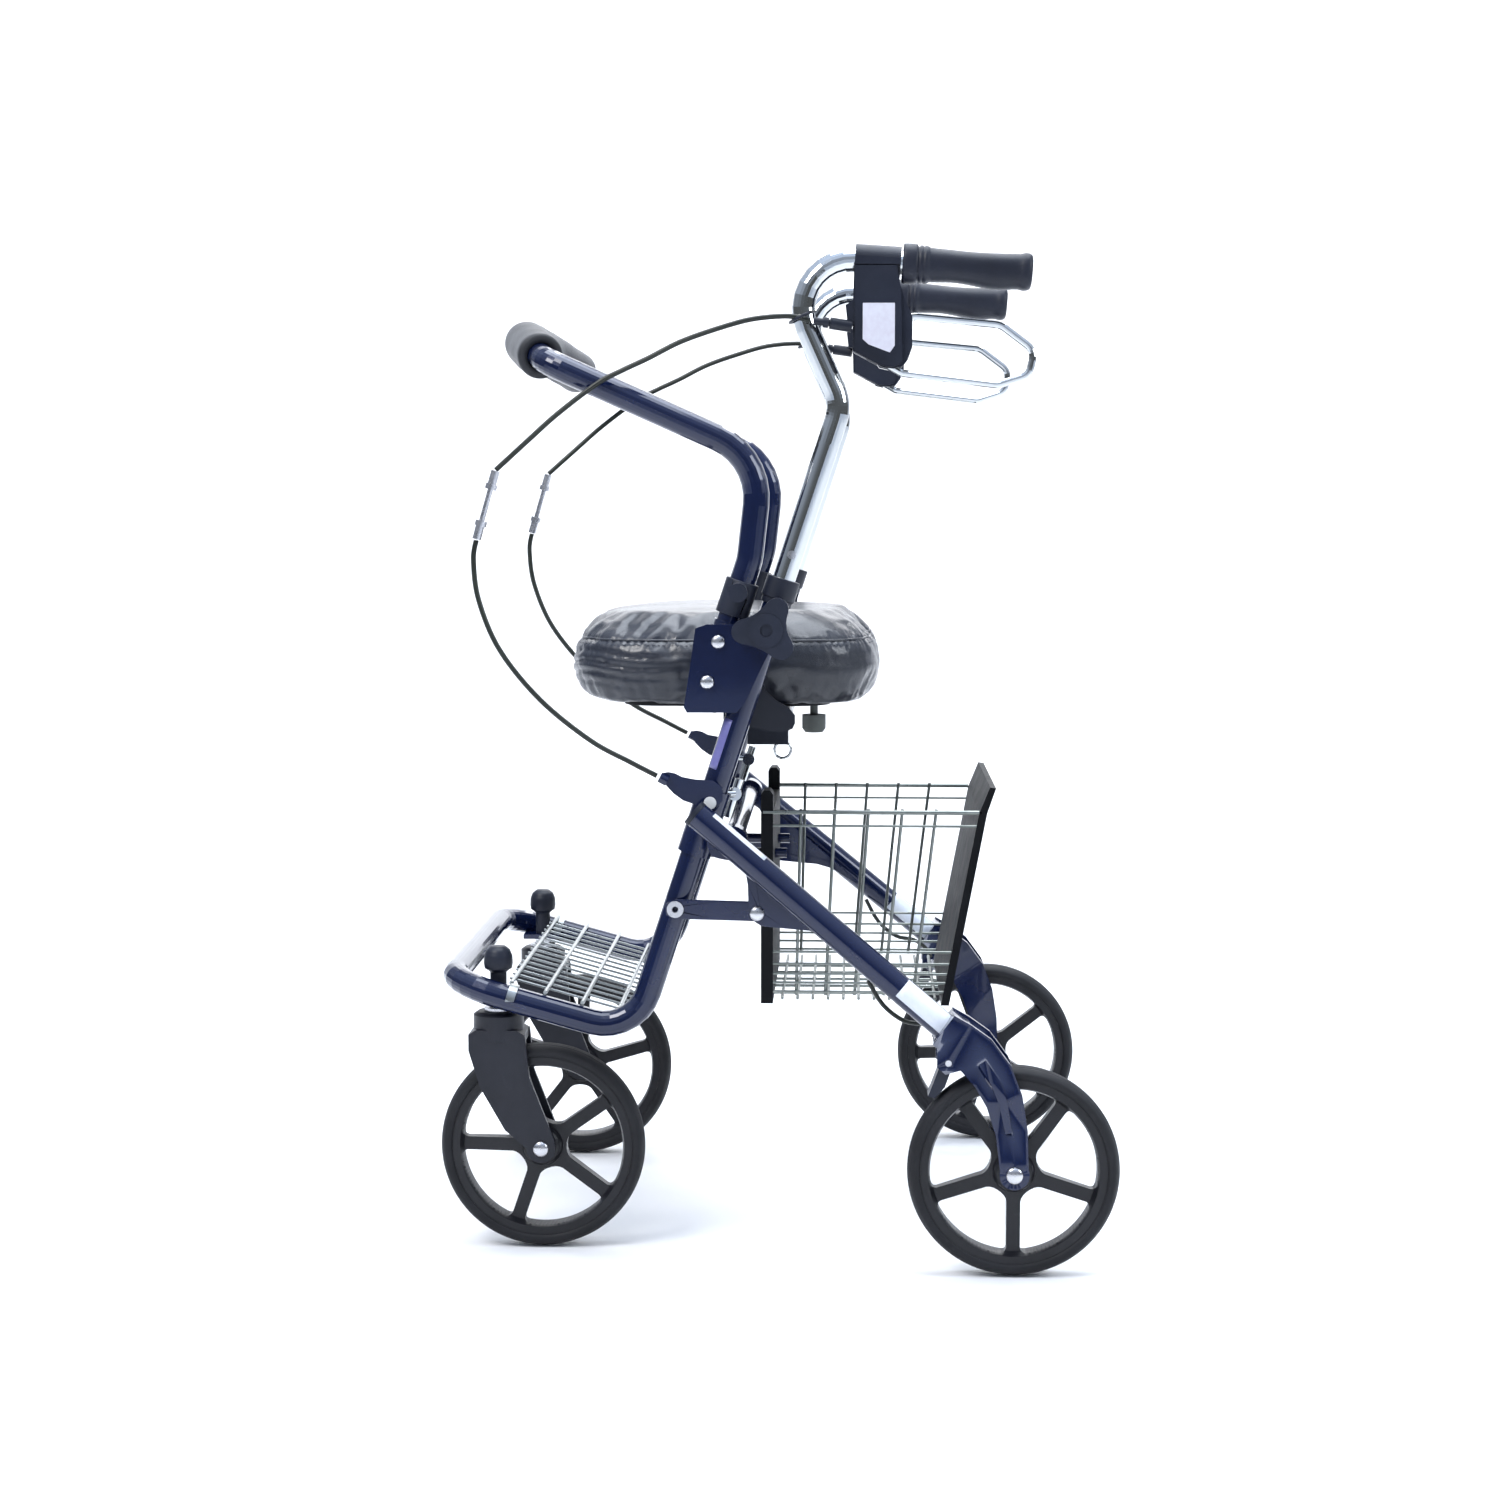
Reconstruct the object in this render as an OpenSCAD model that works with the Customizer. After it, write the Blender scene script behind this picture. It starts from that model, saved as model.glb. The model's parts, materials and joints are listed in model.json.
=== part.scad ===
// Knee scooter: four-wheel folding walker with a padded knee seat.
// +X points forward, +Y to the rider's left, +Z up. Millimetres.
// The origin is on the floor, under the middle of the outer box.

/* [Wheels] */
// Wheel diameter
wheel_d = 200; // [198:1:202]
// Tyre width
wheel_w = 30; // [26:1:32]
// Distance between front and rear axles
wheelbase = 454; // [450:1:458]
// Distance between the rear wheels' middle planes
rear_track = 560; // [558:1:564]
// Spokes in each wheel
spokes = 5; // [4:1:6]
// Width of a spoke
spoke_w = 13; // [11:1:15]

/* [Frame] */
// Distance between the two uprights
frame_w = 428; // [426:1:430]
// Frame tube diameter
tube_d = 25.4; // [25:0.1:25.4]
// Handle tube diameter
handle_d = 22.2; // [22:0.1:22.2]
// Height of the top of the uprights
upright_top = 648; // [640:1:650]

/* [Soft parts] */
// Length of the seat cushion
seat_l = 312; // [300:1:314]
// Width of the seat cushion
seat_w = 352; // [340:1:356]
// Thickness of the seat cushion
seat_t = 86; // [80:1:88]
// Foam roll diameter
foam_d = 44; // [42:1:46]

/* [Basket] */
// Outer width of the basket
basket_w = 262; // [256:1:266]
// Wires along each side of the basket
basket_ribs = 5; // [4:1:7]

/* [Hidden] */
$fn = 48;
fy = frame_w/2;
tr = tube_d/2;
hr = handle_d/2;
wr = wheel_d/2;
ry = rear_track/2;
fx = wheelbase/2;
cy = 192;              // caster stem, side to side
cx = 270;              // caster stem, fore and aft
A = [94.5, 338.5];     // link pivot on the upright
B = [15.9, 336.6];     // link pivot on the rear leg
H = [40, 404];         // rear leg pivot on the sliding hub
tk = 0.3272;           // lean of the uprights, mm back per mm up
ut = atan(tk);
U = [-sin(ut), 0, cos(ut)];
function upx(z) = A[0] - (z - A[1])*tk;
P1 = [135.2, 214];     // corner between upright and tray
tray_k = 0.2773;       // rise of the tray, mm up per mm forward
function trz(x) = P1[1] + (x - P1[0])*tray_k;
gap = 0.15;
LEG0 = [72.1, 249.8, 430.9];
LEG1 = [-178, 279, 221.3];
SOCK = [41.3, fy, 618.6];   // point on the backrest socket's axis
function sox(z) = SOCK[0] - (z - SOCK[2])*tk;

// ---- vector helpers
function vsub(a, b) = [a[0]-b[0], a[1]-b[1], a[2]-b[2]];
function vlen(a) = norm(a);
function unit(a) = a/norm(a);
function rnd_arc(c, r, a0, a1, n) = [for (i = [0:n]) let (a = a0 + (a1-a0)*i/n) [c[0] + r*cos(a), c[1] + r*sin(a)]];
function chaikin(p) = [for (i = [0:len(p)-1]) for (t = [0.25, 0.75]) p[i]*(1-t) + p[(i+1)%len(p)]*t];
function nrm2(a, b) = let (d = b - a, l = norm(d)) [-d[1]/l, d[0]/l];
function ribn(c, i) = let (n = len(c)) i == 0 ? nrm2(c[0], c[1]) : i == n-1 ? nrm2(c[n-2], c[n-1]) : nrm2(c[i-1], c[i+1]);
function ribbon(c, w) = concat([for (i = [0:len(c)-1]) c[i] + ribn(c, i)*w[i]], [for (i = [len(c)-1:-1:0]) c[i] - ribn(c, i)*w[i]]);

// Both sides of the machine
module both() { children(); mirror([0, 1, 0]) children(); }
module right() { mirror([0, 1, 0]) children(); }

// Round bar from p to q
module rod(p, q, r, fn = 48) {
  d = q - p; L = norm(d);
  translate(p) rotate([0, acos(d[2]/L), atan2(d[1], d[0])]) cylinder(r = r, h = L, $fn = fn);
}
// Bar across the machine, from y0 to y1
module ybar(x, z, r, y0, y1, fn = 48) { translate([x, y1, z]) rotate([90, 0, 0]) cylinder(r = r, h = y1 - y0, $fn = fn); }
// Flat plate in the X-Z plane, from y0 to y1
module plate(pts, y0, y1) { translate([0, y1, 0]) rotate([90, 0, 0]) linear_extrude(y1 - y0) polygon(pts); }
// Stations [point, direction] along the path p with bend radii R, n steps a bend
function arcst(v, d1, d2, R, n) = let (th = acos(d1*d2), t = R*tan(th/2), ax = unit(cross(d1, d2)), nn = cross(ax, d1), c = v - d1*t + nn*R)
  [for (i = [0:n]) let (a = th*i/n) [c - nn*R*cos(a) + d1*R*sin(a), d1*cos(a) + nn*sin(a)]];
function stations(p, R, n) = let (m = len(p)) concat([[p[0], unit(p[1]-p[0])]],
  [for (i = [1:m-2]) each arcst(p[i], unit(p[i]-p[i-1]), unit(p[i+1]-p[i]), R[i], n)], [[p[m-1], unit(p[m-1]-p[m-2])]]);
function perp(d) = abs(d[1]) < 0.9 ? unit([0, 1, 0] - d*d[1]) : unit([0, 0, 1] - d*d[2]);
function nrms(st) = [for (i = 0, n = perp(st[0][1]); i < len(st); i = i+1, n = i < len(st) ? unit(n - st[i][1]*(n*st[i][1])) : n) n];
function ringpts(st, nn, r, s) = [for (i = [0:len(st)-1]) let (a = nn[i], b = cross(st[i][1], a)) for (k = [0:s-1]) st[i][0] + r*(a*cos(360*k/s) + b*sin(360*k/s))];
// Bent round bar through the vertices p with bend radii R
module bent(p, R, r, n = 7, s = 24) {
  st = stations(p, R, n); m = len(st);
  polyhedron(points = ringpts(st, nrms(st), r, s), faces = concat([[for (k = [0:s-1]) k]], [[for (k = [s-1:-1:0]) (m-1)*s + k]],
    [for (i = [0:m-2]) for (k = [0:s-1]) [i*s+k, (i+1)*s+k, (i+1)*s+(k+1)%s, i*s+(k+1)%s]]));
}
// The same with a round hole of radius q along it
module bentpipe(p, R, r, q, n = 7, s = 24) {
  st = stations(p, R, n); m = len(st); nn = nrms(st); o = m*s;
  polyhedron(points = concat(ringpts(st, nn, r, s), ringpts(st, nn, q, s)), faces = concat(
    [for (k = [0:s-1]) [k, (k+1)%s, o+(k+1)%s, o+k]], [for (k = [0:s-1]) let (e = (m-1)*s) [e+k, o+e+k, o+e+(k+1)%s, e+(k+1)%s]],
    [for (i = [0:m-2]) for (k = [0:s-1]) [i*s+k, (i+1)*s+k, (i+1)*s+(k+1)%s, i*s+(k+1)%s]],
    [for (i = [0:m-2]) for (k = [0:s-1]) [o+i*s+k, o+i*s+(k+1)%s, o+(i+1)*s+(k+1)%s, o+(i+1)*s+k]]));
}
// Cable swept along a smooth route through p
function cr(p, i, t) = let (n = len(p), a = p[max(i-1, 0)], b = p[i], c = p[i+1], d = p[min(i+2, n-1)])
  0.5*((2*b) + (c-a)*t + (2*a - 5*b + 4*c - d)*t*t + (3*b - a - 3*c + d)*t*t*t);
function route(p, m) = concat([for (i = [0:len(p)-2]) for (k = [0:m-1]) cr(p, i, k/m)], [p[len(p)-1]]);
module cable(p, r, m) {
  q = route(p, m); n = len(q); s = 8;
  pts = [for (i = [0:n-1])
    let (d = unit(q[min(i+1, n-1)] - q[max(i-1, 0)]), a = unit(cross([0, 1, 0], d)), b = cross(d, a))
    for (k = [0:s-1]) q[i] + r*(a*cos(360*k/s) + b*sin(360*k/s))];
  polyhedron(points = pts, faces = concat([[for (k = [0:s-1]) k]], [[for (k = [s-1:-1:0]) (n-1)*s + k]],
    [for (i = [0:n-2]) for (k = [0:s-1]) [i*s+k, (i+1)*s+k, (i+1)*s+(k+1)%s, i*s+(k+1)%s]]));
}
blue = [0.06, 0.10, 0.27]; blk = [0.09, 0.09, 0.11]; chr = [0.8, 0.8, 0.82]; slv = [0.7, 0.7, 0.72];

// ---------------------------------------------------------------- front frame
TOP = [upx(upright_top), fy, upright_top];
module front_frame() {
  color(blue) difference() {
    union() {
      both() rod(TOP, [upx(345), fy, 345], tr);
      bent([[upx(352), fy, 352], [P1[0], fy, P1[1]], [315, fy, trz(315)], [315, -fy, trz(315)], [P1[0], -fy, P1[1]], [upx(352), -fy, 352]],
           [0, 45, 50, 50, 45, 0], tr - 0.02);
      // basket carrier with two pegs
      ybar(upx(371), 371, 8, -fy, fy);
      both() rod([upx(371), 60, 371], [-8, 60, 371], 5);
      // caster brackets
      both() difference() {
        translate([cx-20, cy-17, 242.5]) cube([40, 24, 5]);
        translate([cx, cy, 230]) cylinder(r = 5.2, h = 30);
      }
    }
    // bores for the handle tubes and their snap buttons
    both() rod(TOP + U*2, TOP - U*262, hr + 0.06);
    both() ybar(upx(606), 606, 4.1, fy + 2, fy + 30);
  }
}
module collar(p, d, r0, r1, h) { difference() { rod(p, p + d*h, r1); rod(p - d, p + d*(h+1), r0); } }
module upright_collars() {
  color(blk) both() {
    // bush and cap at the mouth of each upright
    difference() {
      union() { rod(TOP - U*14, TOP + U*6, 16.2); rod(TOP - U*20, TOP - U*14, 14.8); }
      rod(TOP - U*21, TOP + U*0.1, tr + gap);
      rod(TOP - U*1, TOP + U*8, hr + 0.1);
    }
    // sleeve at the mouth of each backrest socket
    difference() {
      p = [sox(619), fy, 619];
      union() { rod(p, p + U*34, 16); ybar(sox(641), 641, 9, fy, fy + 19); }
      rod(p - U, p + U*36, tr + 0.1);
      ybar(sox(641), 641, 3.2, fy + 10, fy + 20);
    }
  }
}
module backrest_sockets() {
  color(blue) both() difference() {
    union() {
      rod([sox(530), fy, 530], [sox(612), fy, 612], tr + 2);
      plate([[64, 611], [75, 607], [80, 570], [86, 532], [83, 527], [36, 527], [28, 536], [12, 570], [-2, 598], [4, 611]], fy + 11.5, fy + 17);
      // web between socket and upright
      plate([[sox(600), 600], [upx(600), 600], [upx(548), 548], [sox(548), 548]], fy - 4, fy + 4);
    }
    rod([sox(520), fy, 520], [sox(620), fy, 620], tr + 0.06);
    rod([upx(500), fy, 500], [upx(640), fy, 640], tr + gap);
    ybar(53.2, 594.3, 4.1, fy + 10, fy + 30);
    ybar(63.7, 556, 4.1, fy + 10, fy + 30);
    ybar(upx(606), 606, 4.6, fy + 8, fy + 30);
  }
}
// Low round bolt head, its outer side towards +Y
module dome(x, z, y, r, h) { translate([x, y, z]) rotate([-90, 0, 0]) rotate_extrude() polygon(concat([[0, 0], [r, 0], [r, h*0.3]], [for (a = [20:14:76]) [r*cos(a), h*0.3 + h*0.7*sin(a)]], [[0, h]])); }
module frame_bolts() {
  color(slv) both() {
    dome(53.2, 594.3, fy + 17.1, 6.5, 4.5); ybar(53.2, 594.3, 4, fy + 13.2, fy + 17.4);
    dome(63.7, 556, fy + 17.1, 6.5, 4.5); ybar(63.7, 556, 4, fy + 13.2, fy + 17.4);
    // hollow pivot rivet of each link
    difference() {
      union() { ybar(A[0], A[1], 5, fy + tr + 0.2, fy + 18.2); ybar(A[0], A[1], 8, fy + 18.2, fy + 20.5); }
      ybar(A[0], A[1], 3, fy + tr, fy + 21);
    }
  }
}
SHX = 36.1; // seat hinge, fore and aft
module seat_rails() {
  color([0.08, 0.09, 0.14]) {
    difference() {
      union() {
        both() plate(chaikin([[50, 514], [46, 509.5], [16, 509.5], [6, 506], [-10, 506], [-19, 510], [-19, 526], [6, 540], [14, 558], [40, 558], [50, 530]]), fy - 20.5, fy - 17.5);
        both() ybar(upx(545), 545, 8, fy - 19, fy - 10);
        ybar(SHX, 517, 9.5, -fy + 17.5, fy - 17.5);
        ybar(-5, 517, 9.5, -fy + 17.5, fy - 17.5);
        translate([-12, -14, 506]) cube([58, 28, 4]);
      }
      both() rod([upx(480), fy, 480], [upx(600), fy, 600], tr + gap);
      both() rod([sox(480), fy, 480], [sox(640), fy, 640], tr + 2.2);
    }
  }
}
module tray_wires() {  // grid welded over the side tubes
  off = (tr + 2.1)*sqrt(1 + tray_k*tray_k);
  color(chr) {
    for (x = [255, 222, 186]) ybar(x, trz(x) + off, 2, -fy + 2, fy - 2, 24);
    ybar(152, trz(152) + off, 2, -fy + 22, fy - 22, 24);
    for (i = [-7:7]) {
      a = [261, i*25, trz(261) + off - 3.1]; b = [146, i*25, trz(146) + off - 3.1];
      rod(a, b, 1.2, 20);
    }
    // hooks over the side tubes
    both() for (x = [255]) difference() {
      rod([x - 4, fy, trz(x - 4)], [x + 4, fy, trz(x + 4)], tr + 2.4);
      rod([x - 9, fy, trz(x - 9)], [x + 9, fy, trz(x + 9)], tr + gap);
      ybar(x, trz(x) + off, 2.1, -fy, fy - 1.9, 24);
      translate([x - 12, fy - 30, trz(x) - 40]) cube([24, 60, 40]);
    }
  }
}
module caster_stems() {
  color(slv) both() translate([cx, cy, 0]) {
    translate([0, 0, 206]) cylinder(r = 5, h = 50);
    translate([0, 0, 203.6]) cylinder(r = 8, h = 2.4);
    difference() { translate([0, 0, 232.4]) cylinder(r = 14, h = 3); translate([0, 0, 232]) cylinder(r = 5, h = 4); }
    difference() { translate([0, 0, 235.6]) cylinder(r = 9, h = 6.8); translate([0, 0, 235]) cylinder(r = 5, h = 8); }
  }
}
module caster_caps() {
  color(blk) both() translate([cx, cy, 0]) difference() {
    rotate_extrude() polygon([[0, 247.7], [8, 247.7], [8, 270], [10.5, 272], [13.4, 274], [14.2, 279], [13.8, 286], [11.5, 292], [7, 295.6], [0, 296.4]]);
    translate([0, 0, 246]) cylinder(r = 5.15, h = 10.5);
  }
}
// -------------------------------------------------------------- brake cables
UP = [[-33.5, 229.6, 895], [-14, 230.6, 899.5], [20, 231, 897], [52, 232, 888.5], [88, 232, 876], [119, 232, 860.5], [144, 232, 849], [167, 232, 837],
      [205, 230, 808.6], [232, 228, 785], [250, 226, 769], [264, 225, 756.5]];
DN = [[283.3, 225, 690.2], [286, 226, 671], [281, 228, 633], [261, 231, 586], [222.5, 234, 539], [175, 237, 501], [137, 238, 480.5], [111.2, 238, 467.2]];
module brake_cable() { color(blk) { cable(UP, 2.5, 3); cable(DN, 2.5, 4); } }
module brake_cable_left() { brake_cable(); }
module brake_cable_right() { right() brake_cable(); }
module inline_adjusters() {
  p = UP[11]; q = DN[0]; d = unit(q - p); L = norm(q - p);
  color(slv) both() {
    rod(p + d*0.9, p + d*14, 4.2);
    rod(p + d*14, p + d*19, 5.6);
    rod(p + d*19, q - d*19, 2.6);
    rod(q - d*19, q - d*14, 5.6);
    rod(q - d*14, q - d*0.9, 4.2);
  }
}
module lock_housing() {
  color(blk) difference() {
    translate([-8, -13, 477]) cube([42, 26, 28.8]);
    translate([-2, 0, 480]) cube([22, 5.6, 9], center = true);
  }
  color(blk) translate([14, 0, 500]) cylinder(r = 9, h = 5.8);
}
// ---------------------------------------------------------------- sliding hub
S0 = [upx(390), fy, 390]; S1 = [upx(452), fy, 452];
module hub_sleeves() {
  color(blue) both() difference() {
    union() {
      rod(S0, S1, 16.4);
      // lug round the cross tube
      ybar(H[0], H[1], 14, fy - 12, fy + 12);
      plate([[H[0] + 4, H[1] + 13], [upx(424), 424], [upx(394), 394], [H[0] + 4, H[1] - 13]], fy - 10, fy + 10);
      // button boss and cable bracket
      ybar(upx(441), 441, 9, fy + 12, fy + 19);
      plate(chaikin([[49, 462], [49, 436], [82, 440], [100, 453], [109, 469], [98, 471], [84, 464]]), fy + 17.3, fy + 20.3);
    }
    rod(S0 - U*5, S1 + U*40, tr + 0.07);
    ybar(H[0], H[1], 9.57, fy - 20, fy + 30);
    ybar(upx(441), 441, 6.07, fy + 13.6, fy + 30);
  }
  // cable stops
  color(slv) both() difference() {
    rod([108.6, 238, 466], [101, 238, 462], 5);
    rod([110.5, 238, 467], [99.1, 238, 461], 2.7);
  }
}
module guide_rods() {
  color(chr) both() {
    rod([upx(458) - 20.5, 176, 458], [upx(421) - 20.5, 176, 421], 4.5);
    difference() {
      union() { ybar(upx(444) - 20.3, 444, 6.5, 170, 182); ybar(upx(444) - 10, 444, 3.5, 182, 196.5); rod([upx(444)-20.3, 180, 444], [upx(444) - 10, 184, 444], 3.5); }
      rod([upx(466) - 20.5, 176, 466], [upx(412) - 20.5, 176, 412], 4.6);
    }
  }
}
module fold_button() { color([0.85, 0.85, 0.85]) { ybar(upx(441), 441, 6, fy + 16.2, fy + 20.2); dome(upx(441), 441, fy + 20.2, 6, 0.7); } }
module fold_button_left() { fold_button(); }
module fold_button_right() { right() fold_button(); }
// ---------------------------------------------------------------- rear frame
module rear_legs() {
  color(blue) union() {
    both() rod(LEG0, LEG1, 13);
    ybar(H[0], H[1], 9.5, -246, 246);
  }
}
module leg_plugs() {
  d = unit(LEG0 - LEG1);
  color(blk) both() difference() {
    rotate_at = LEG0 + d*0.2;
    rod(rotate_at, rotate_at + d*5, 13);
    rod(rotate_at + d*1, rotate_at + d*7, 3.2);
  }
}
function legz(x) = LEG0[2] + (x - LEG0[0])*(LEG1[2]-LEG0[2])/(LEG1[0]-LEG0[0]);
module leg_gussets() {
  color(blue) both() difference() {
    plate(chaikin([[66, legz(66) - 2], [62, 392], [50, 388], [32, 386], [25, 372], [24, 338], [16, 325], [0, 323], [-46, 319], [-72, 302], [-96, legz(-96) - 2]]), 234, 243);
    rod(LEG0, LEG1, 13.2);
    ybar(H[0], H[1], 9.8, 200, 250);
    ybar(B[0], B[1], 4.1, 230, 250);
  }
}
AX = [-fx, wr];
module rear_bolts() {
  color(slv) both() {
    dome(B[0], B[1], 243.1, 7, 5); ybar(B[0], B[1], 4, 236, 243.3);
    // axle bolt
    ybar(AX[0], AX[1], 4, ry - 27, ry + 24);
    dome(AX[0], AX[1], ry + 23.7, 8, 5);
    ybar(AX[0], AX[1], 6.9, ry - 30, ry - 23.7, 6);
    // brake shoe pin
    ybar(-164.7, 205.5, 3, ry - 22.5, ry + 22.5);
  }
}
FC = [[-160, 237], [-174, 227], [-190, 214], [-206, 194], [-217, 170], [-224, 140], [-227, 100]];
FW = [17, 19, 20.5, 19.5, 17.5, 15, 13.2];
module rear_fork() {
  color(blue) difference() {
    union() {
      for (s = [-1, 1]) {
        y0 = s > 0 ? ry + 18 : ry - 23.5;
        plate(ribbon(FC, FW), y0, y0 + 5.5);
        ybar(AX[0], AX[1], 14, y0, y0 + 5.5);
        plate([[-154, 228], [-154, 202], [-162, 195], [-176, 199], [-190, 214]], y0, y0 + 5.5);
      }
      plate(ribbon([FC[0], FC[1], [-187, 217]], [16, 17, 14]), ry - 20, ry + 20);
      // moulded ridge on the outer arm
      plate(ribbon([[-196, 207], [-208, 189], [-216, 168], [-221, 140]], [4, 4.5, 4, 3]), ry + 23, ry + 25);
    }
    rod(LEG1 + (LEG1-LEG0)*0.1, LEG0, 13.2);
    ybar(AX[0], AX[1], 4.1, ry - 40, ry + 40);
    ybar(-164.7, 205.5, 3.1, ry - 40, ry + 40);
    ybar(-164.7, 205.5, 10.5, ry - 17.95, ry + 17.95);
  }
}
module rear_fork_left() { rear_fork(); }
module rear_fork_right() { right() rear_fork(); }
module leg_cables() { color(blk) both() cable([[-90, 263, 276], [-104, 257, 252], [-124, 252.5, 236], [-144, 251, 232], [-158, 252, 222], [-164, 254, 212]], 2.2, 4); }
module brake_shoe() {
  color(blk) difference() {
    union() {
      ybar(-164.7, 205.5, 7, ry - 17, ry + 17);
      plate([[-169, 201], [-163, 199], [-157, 201], [-150, 182], [-146, 172], [-153, 170], [-162, 181]], ry - 12, ry + 12);
    }
    ybar(-164.7, 205.5, 3.06, ry - 20, ry + 20);
    ybar(AX[0], AX[1], wr + 2.5, ry - 30, ry + 30, 96);
  }
}
module brake_shoe_left() { brake_shoe(); }
module brake_shoe_right() { right() brake_shoe(); }
module link_bars() {
  color(blue) both() difference() {
    plate(ribbon([[A[0] + 9, A[1] - 0.4], [A[0], A[1]], [55, 337.6], [B[0], B[1]], [B[0] - 9, B[1] - 0.4]], [5.5, 9.5, 9.5, 9.5, 5.5]), fy + 14.6, fy + 18);
    ybar(A[0], A[1], 5.08, fy, fy + 30);
  }
}
// ---------------------------------------------------------------- seat
SX = 55; // middle of the cushion, fore and aft
module board(h) { linear_extrude(h) polygon(concat(rnd_arc([SX + 59, 112], 38, 0, 90, 8), rnd_arc([SX - 69, 112], 38, 90, 180, 8),
  rnd_arc([SX - 69, -112], 38, 180, 270, 8), rnd_arc([SX + 59, -112], 38, 270, 360, 8))); }
module seat_plate() {
  color(blk) {
    difference() {
      union() {
        translate([0, 0, 527]) board(9);
        for (y = [-120, 120]) ybar(SHX, 517, 14, y - 18, y + 18);
      }
      ybar(SHX, 517, 9.58, -200, 200);
      translate([-35, 45, 520]) cylinder(r = 4.08, h = 30);
    }
  }
}
module pl(r, in, z0, z1) { for (x = [-1, 1], y = [-1, 1]) translate([SX + x*(seat_l/2 - r - in), y*(seat_w/2 - r - in), z0]) cylinder(r = r, h = z1 - z0, $fn = 32); }
module seat_cushion() { color([0.10, 0.11, 0.14]) difference() {
  hull() { pl(66, 0, 562, 596); pl(56, 8, 542, 608); pl(44, 20, 529, 616); pl(40, 40, 540, 536.4 + seat_t); }
  translate([0, 0, 520]) board(16);
  translate([-35, 45, 530]) cylinder(r = 10, h = 14); } }
module seat_latch_knob() { color([0.35, 0.36, 0.38]) translate([-35, 45, 0]) { translate([0, 0, 497]) cylinder(r = 12, h = 14); translate([0, 0, 493]) cylinder(r1 = 9, r2 = 12, h = 4); translate([0, 0, 511]) cylinder(r = 4, h = 25); } }
module pull_ring() { color(chr) translate([-2, 0, 470.5]) rotate([90, 0, 0]) rotate_extrude() translate([8.5, 0]) circle(r = 1.4, $fn = 24); }
// ---------------------------------------------------------------- backrest
BK = [[sox(534), fy, 534], [sox(672), fy, 672], [13, fy, 768.2], [217, fy, 859], [253, 70, 884]];
BP = concat(BK, [for (i = [4:-1:0]) [BK[i][0], -BK[i][1], BK[i][2]]]);
module backrest_bar() { color(blue) union() {
  both() rod(BK[0], [sox(655), fy, 655], tr);
  bent([for (i = [0:len(BP)-1]) i == 0 ? [sox(648), fy, 648] : i == len(BP)-1 ? [sox(648), -fy, 648] : BP[i]], [0, 60, 62, 30, 120, 120, 30, 62, 60, 0], tr - 0.02);
} }
module backrest_foam() {
  a = BK[3]; b = BK[4]; d = unit(b - a);
  p = a + d*36;
  color([0.12, 0.12, 0.14]) bentpipe([p, b, [b[0], -b[1], b[2]], [p[0], -p[1], p[2]]], [0, 120, 120, 0], foam_d/2, tr + 0.3);
}
module backrest_knob() { color(blk) { ybar(sox(641), 641, 3, fy + tr + 0.4, fy + 20); ybar(sox(641), 641, 9, fy + 20, fy + 32, 40); } }
module backrest_knob_left() { backrest_knob(); }
module backrest_knob_right() { right() backrest_knob(); }
// ---------------------------------------------------------------- handlebars
HT = [TOP - U*170, [-62.3, fy, 817.7], [0.4, fy, 957.7], [-236, fy, 941.2]];
HD = unit(HT[3] - HT[2]);
module handle_tube() { color(chr) difference() {
  union() {
    rod(HT[0], TOP + U*140, hr);
    bent([TOP + U*134, HT[1], HT[2], HT[3]], [0, 40, 45.7, 0], hr - 0.02, 9);
  }
  rod(HT[0] - U, HT[0] + U*120, hr - 1.6);
  ybar(TOP[0] + U[0]*30, TOP[2] + U[2]*30, 4.08, fy + 4, fy + 30);
} }
module handle_tube_left() { handle_tube(); }
module handle_tube_right() { right() handle_tube(); }
GE = [-238, fy, 941.2 - 0.14];
module grip() {
  L = 122;
  color(blk) difference() {
    translate(GE) rotate([0, 90 - 4, 0]) translate([0, 0, -3]) rotate_extrude() polygon([[0, 0], [13, 0], [16.5, 1.6], [18.4, 5], [17.6, 14], [16.4, 30], [16.9, 55], [17.6, 78], [16.6, 96], [16.8, 105], [18.4, 107.5], [18.4, L - 1.5], [17.4, L], [0, L]]);
    rod(HT[3] - HD*0.4 + HD*1, HT[2], hr + gap);
  }
}
module grip_left() { grip(); }
module grip_right() { right() grip(); }
HP = [[-74.3, 947.7], [-115, 947.5], [-116.9, 930.5], [-121.3, 916.6], [-126.6, 905], [-129, 898.1], [-128.9, 870.3], [-125.1, 859.8], [-119.9, 852.9], [-111.7, 851], [-102.3, 851.7], [-93, 856.4], [-73.6, 866.9], [-72.9, 893], [-68.2, 894.7], [-66.4, 909.8], [-73.4, 914.4]];
HF = [[-75.1, 946.5], [-114.1, 946.4], [-118.1, 925.6], [-119.8, 858.5], [-117.5, 854.5], [-110.5, 852.2], [-103.5, 852.8], [-94.1, 856.3], [-75.4, 866.7]];
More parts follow.
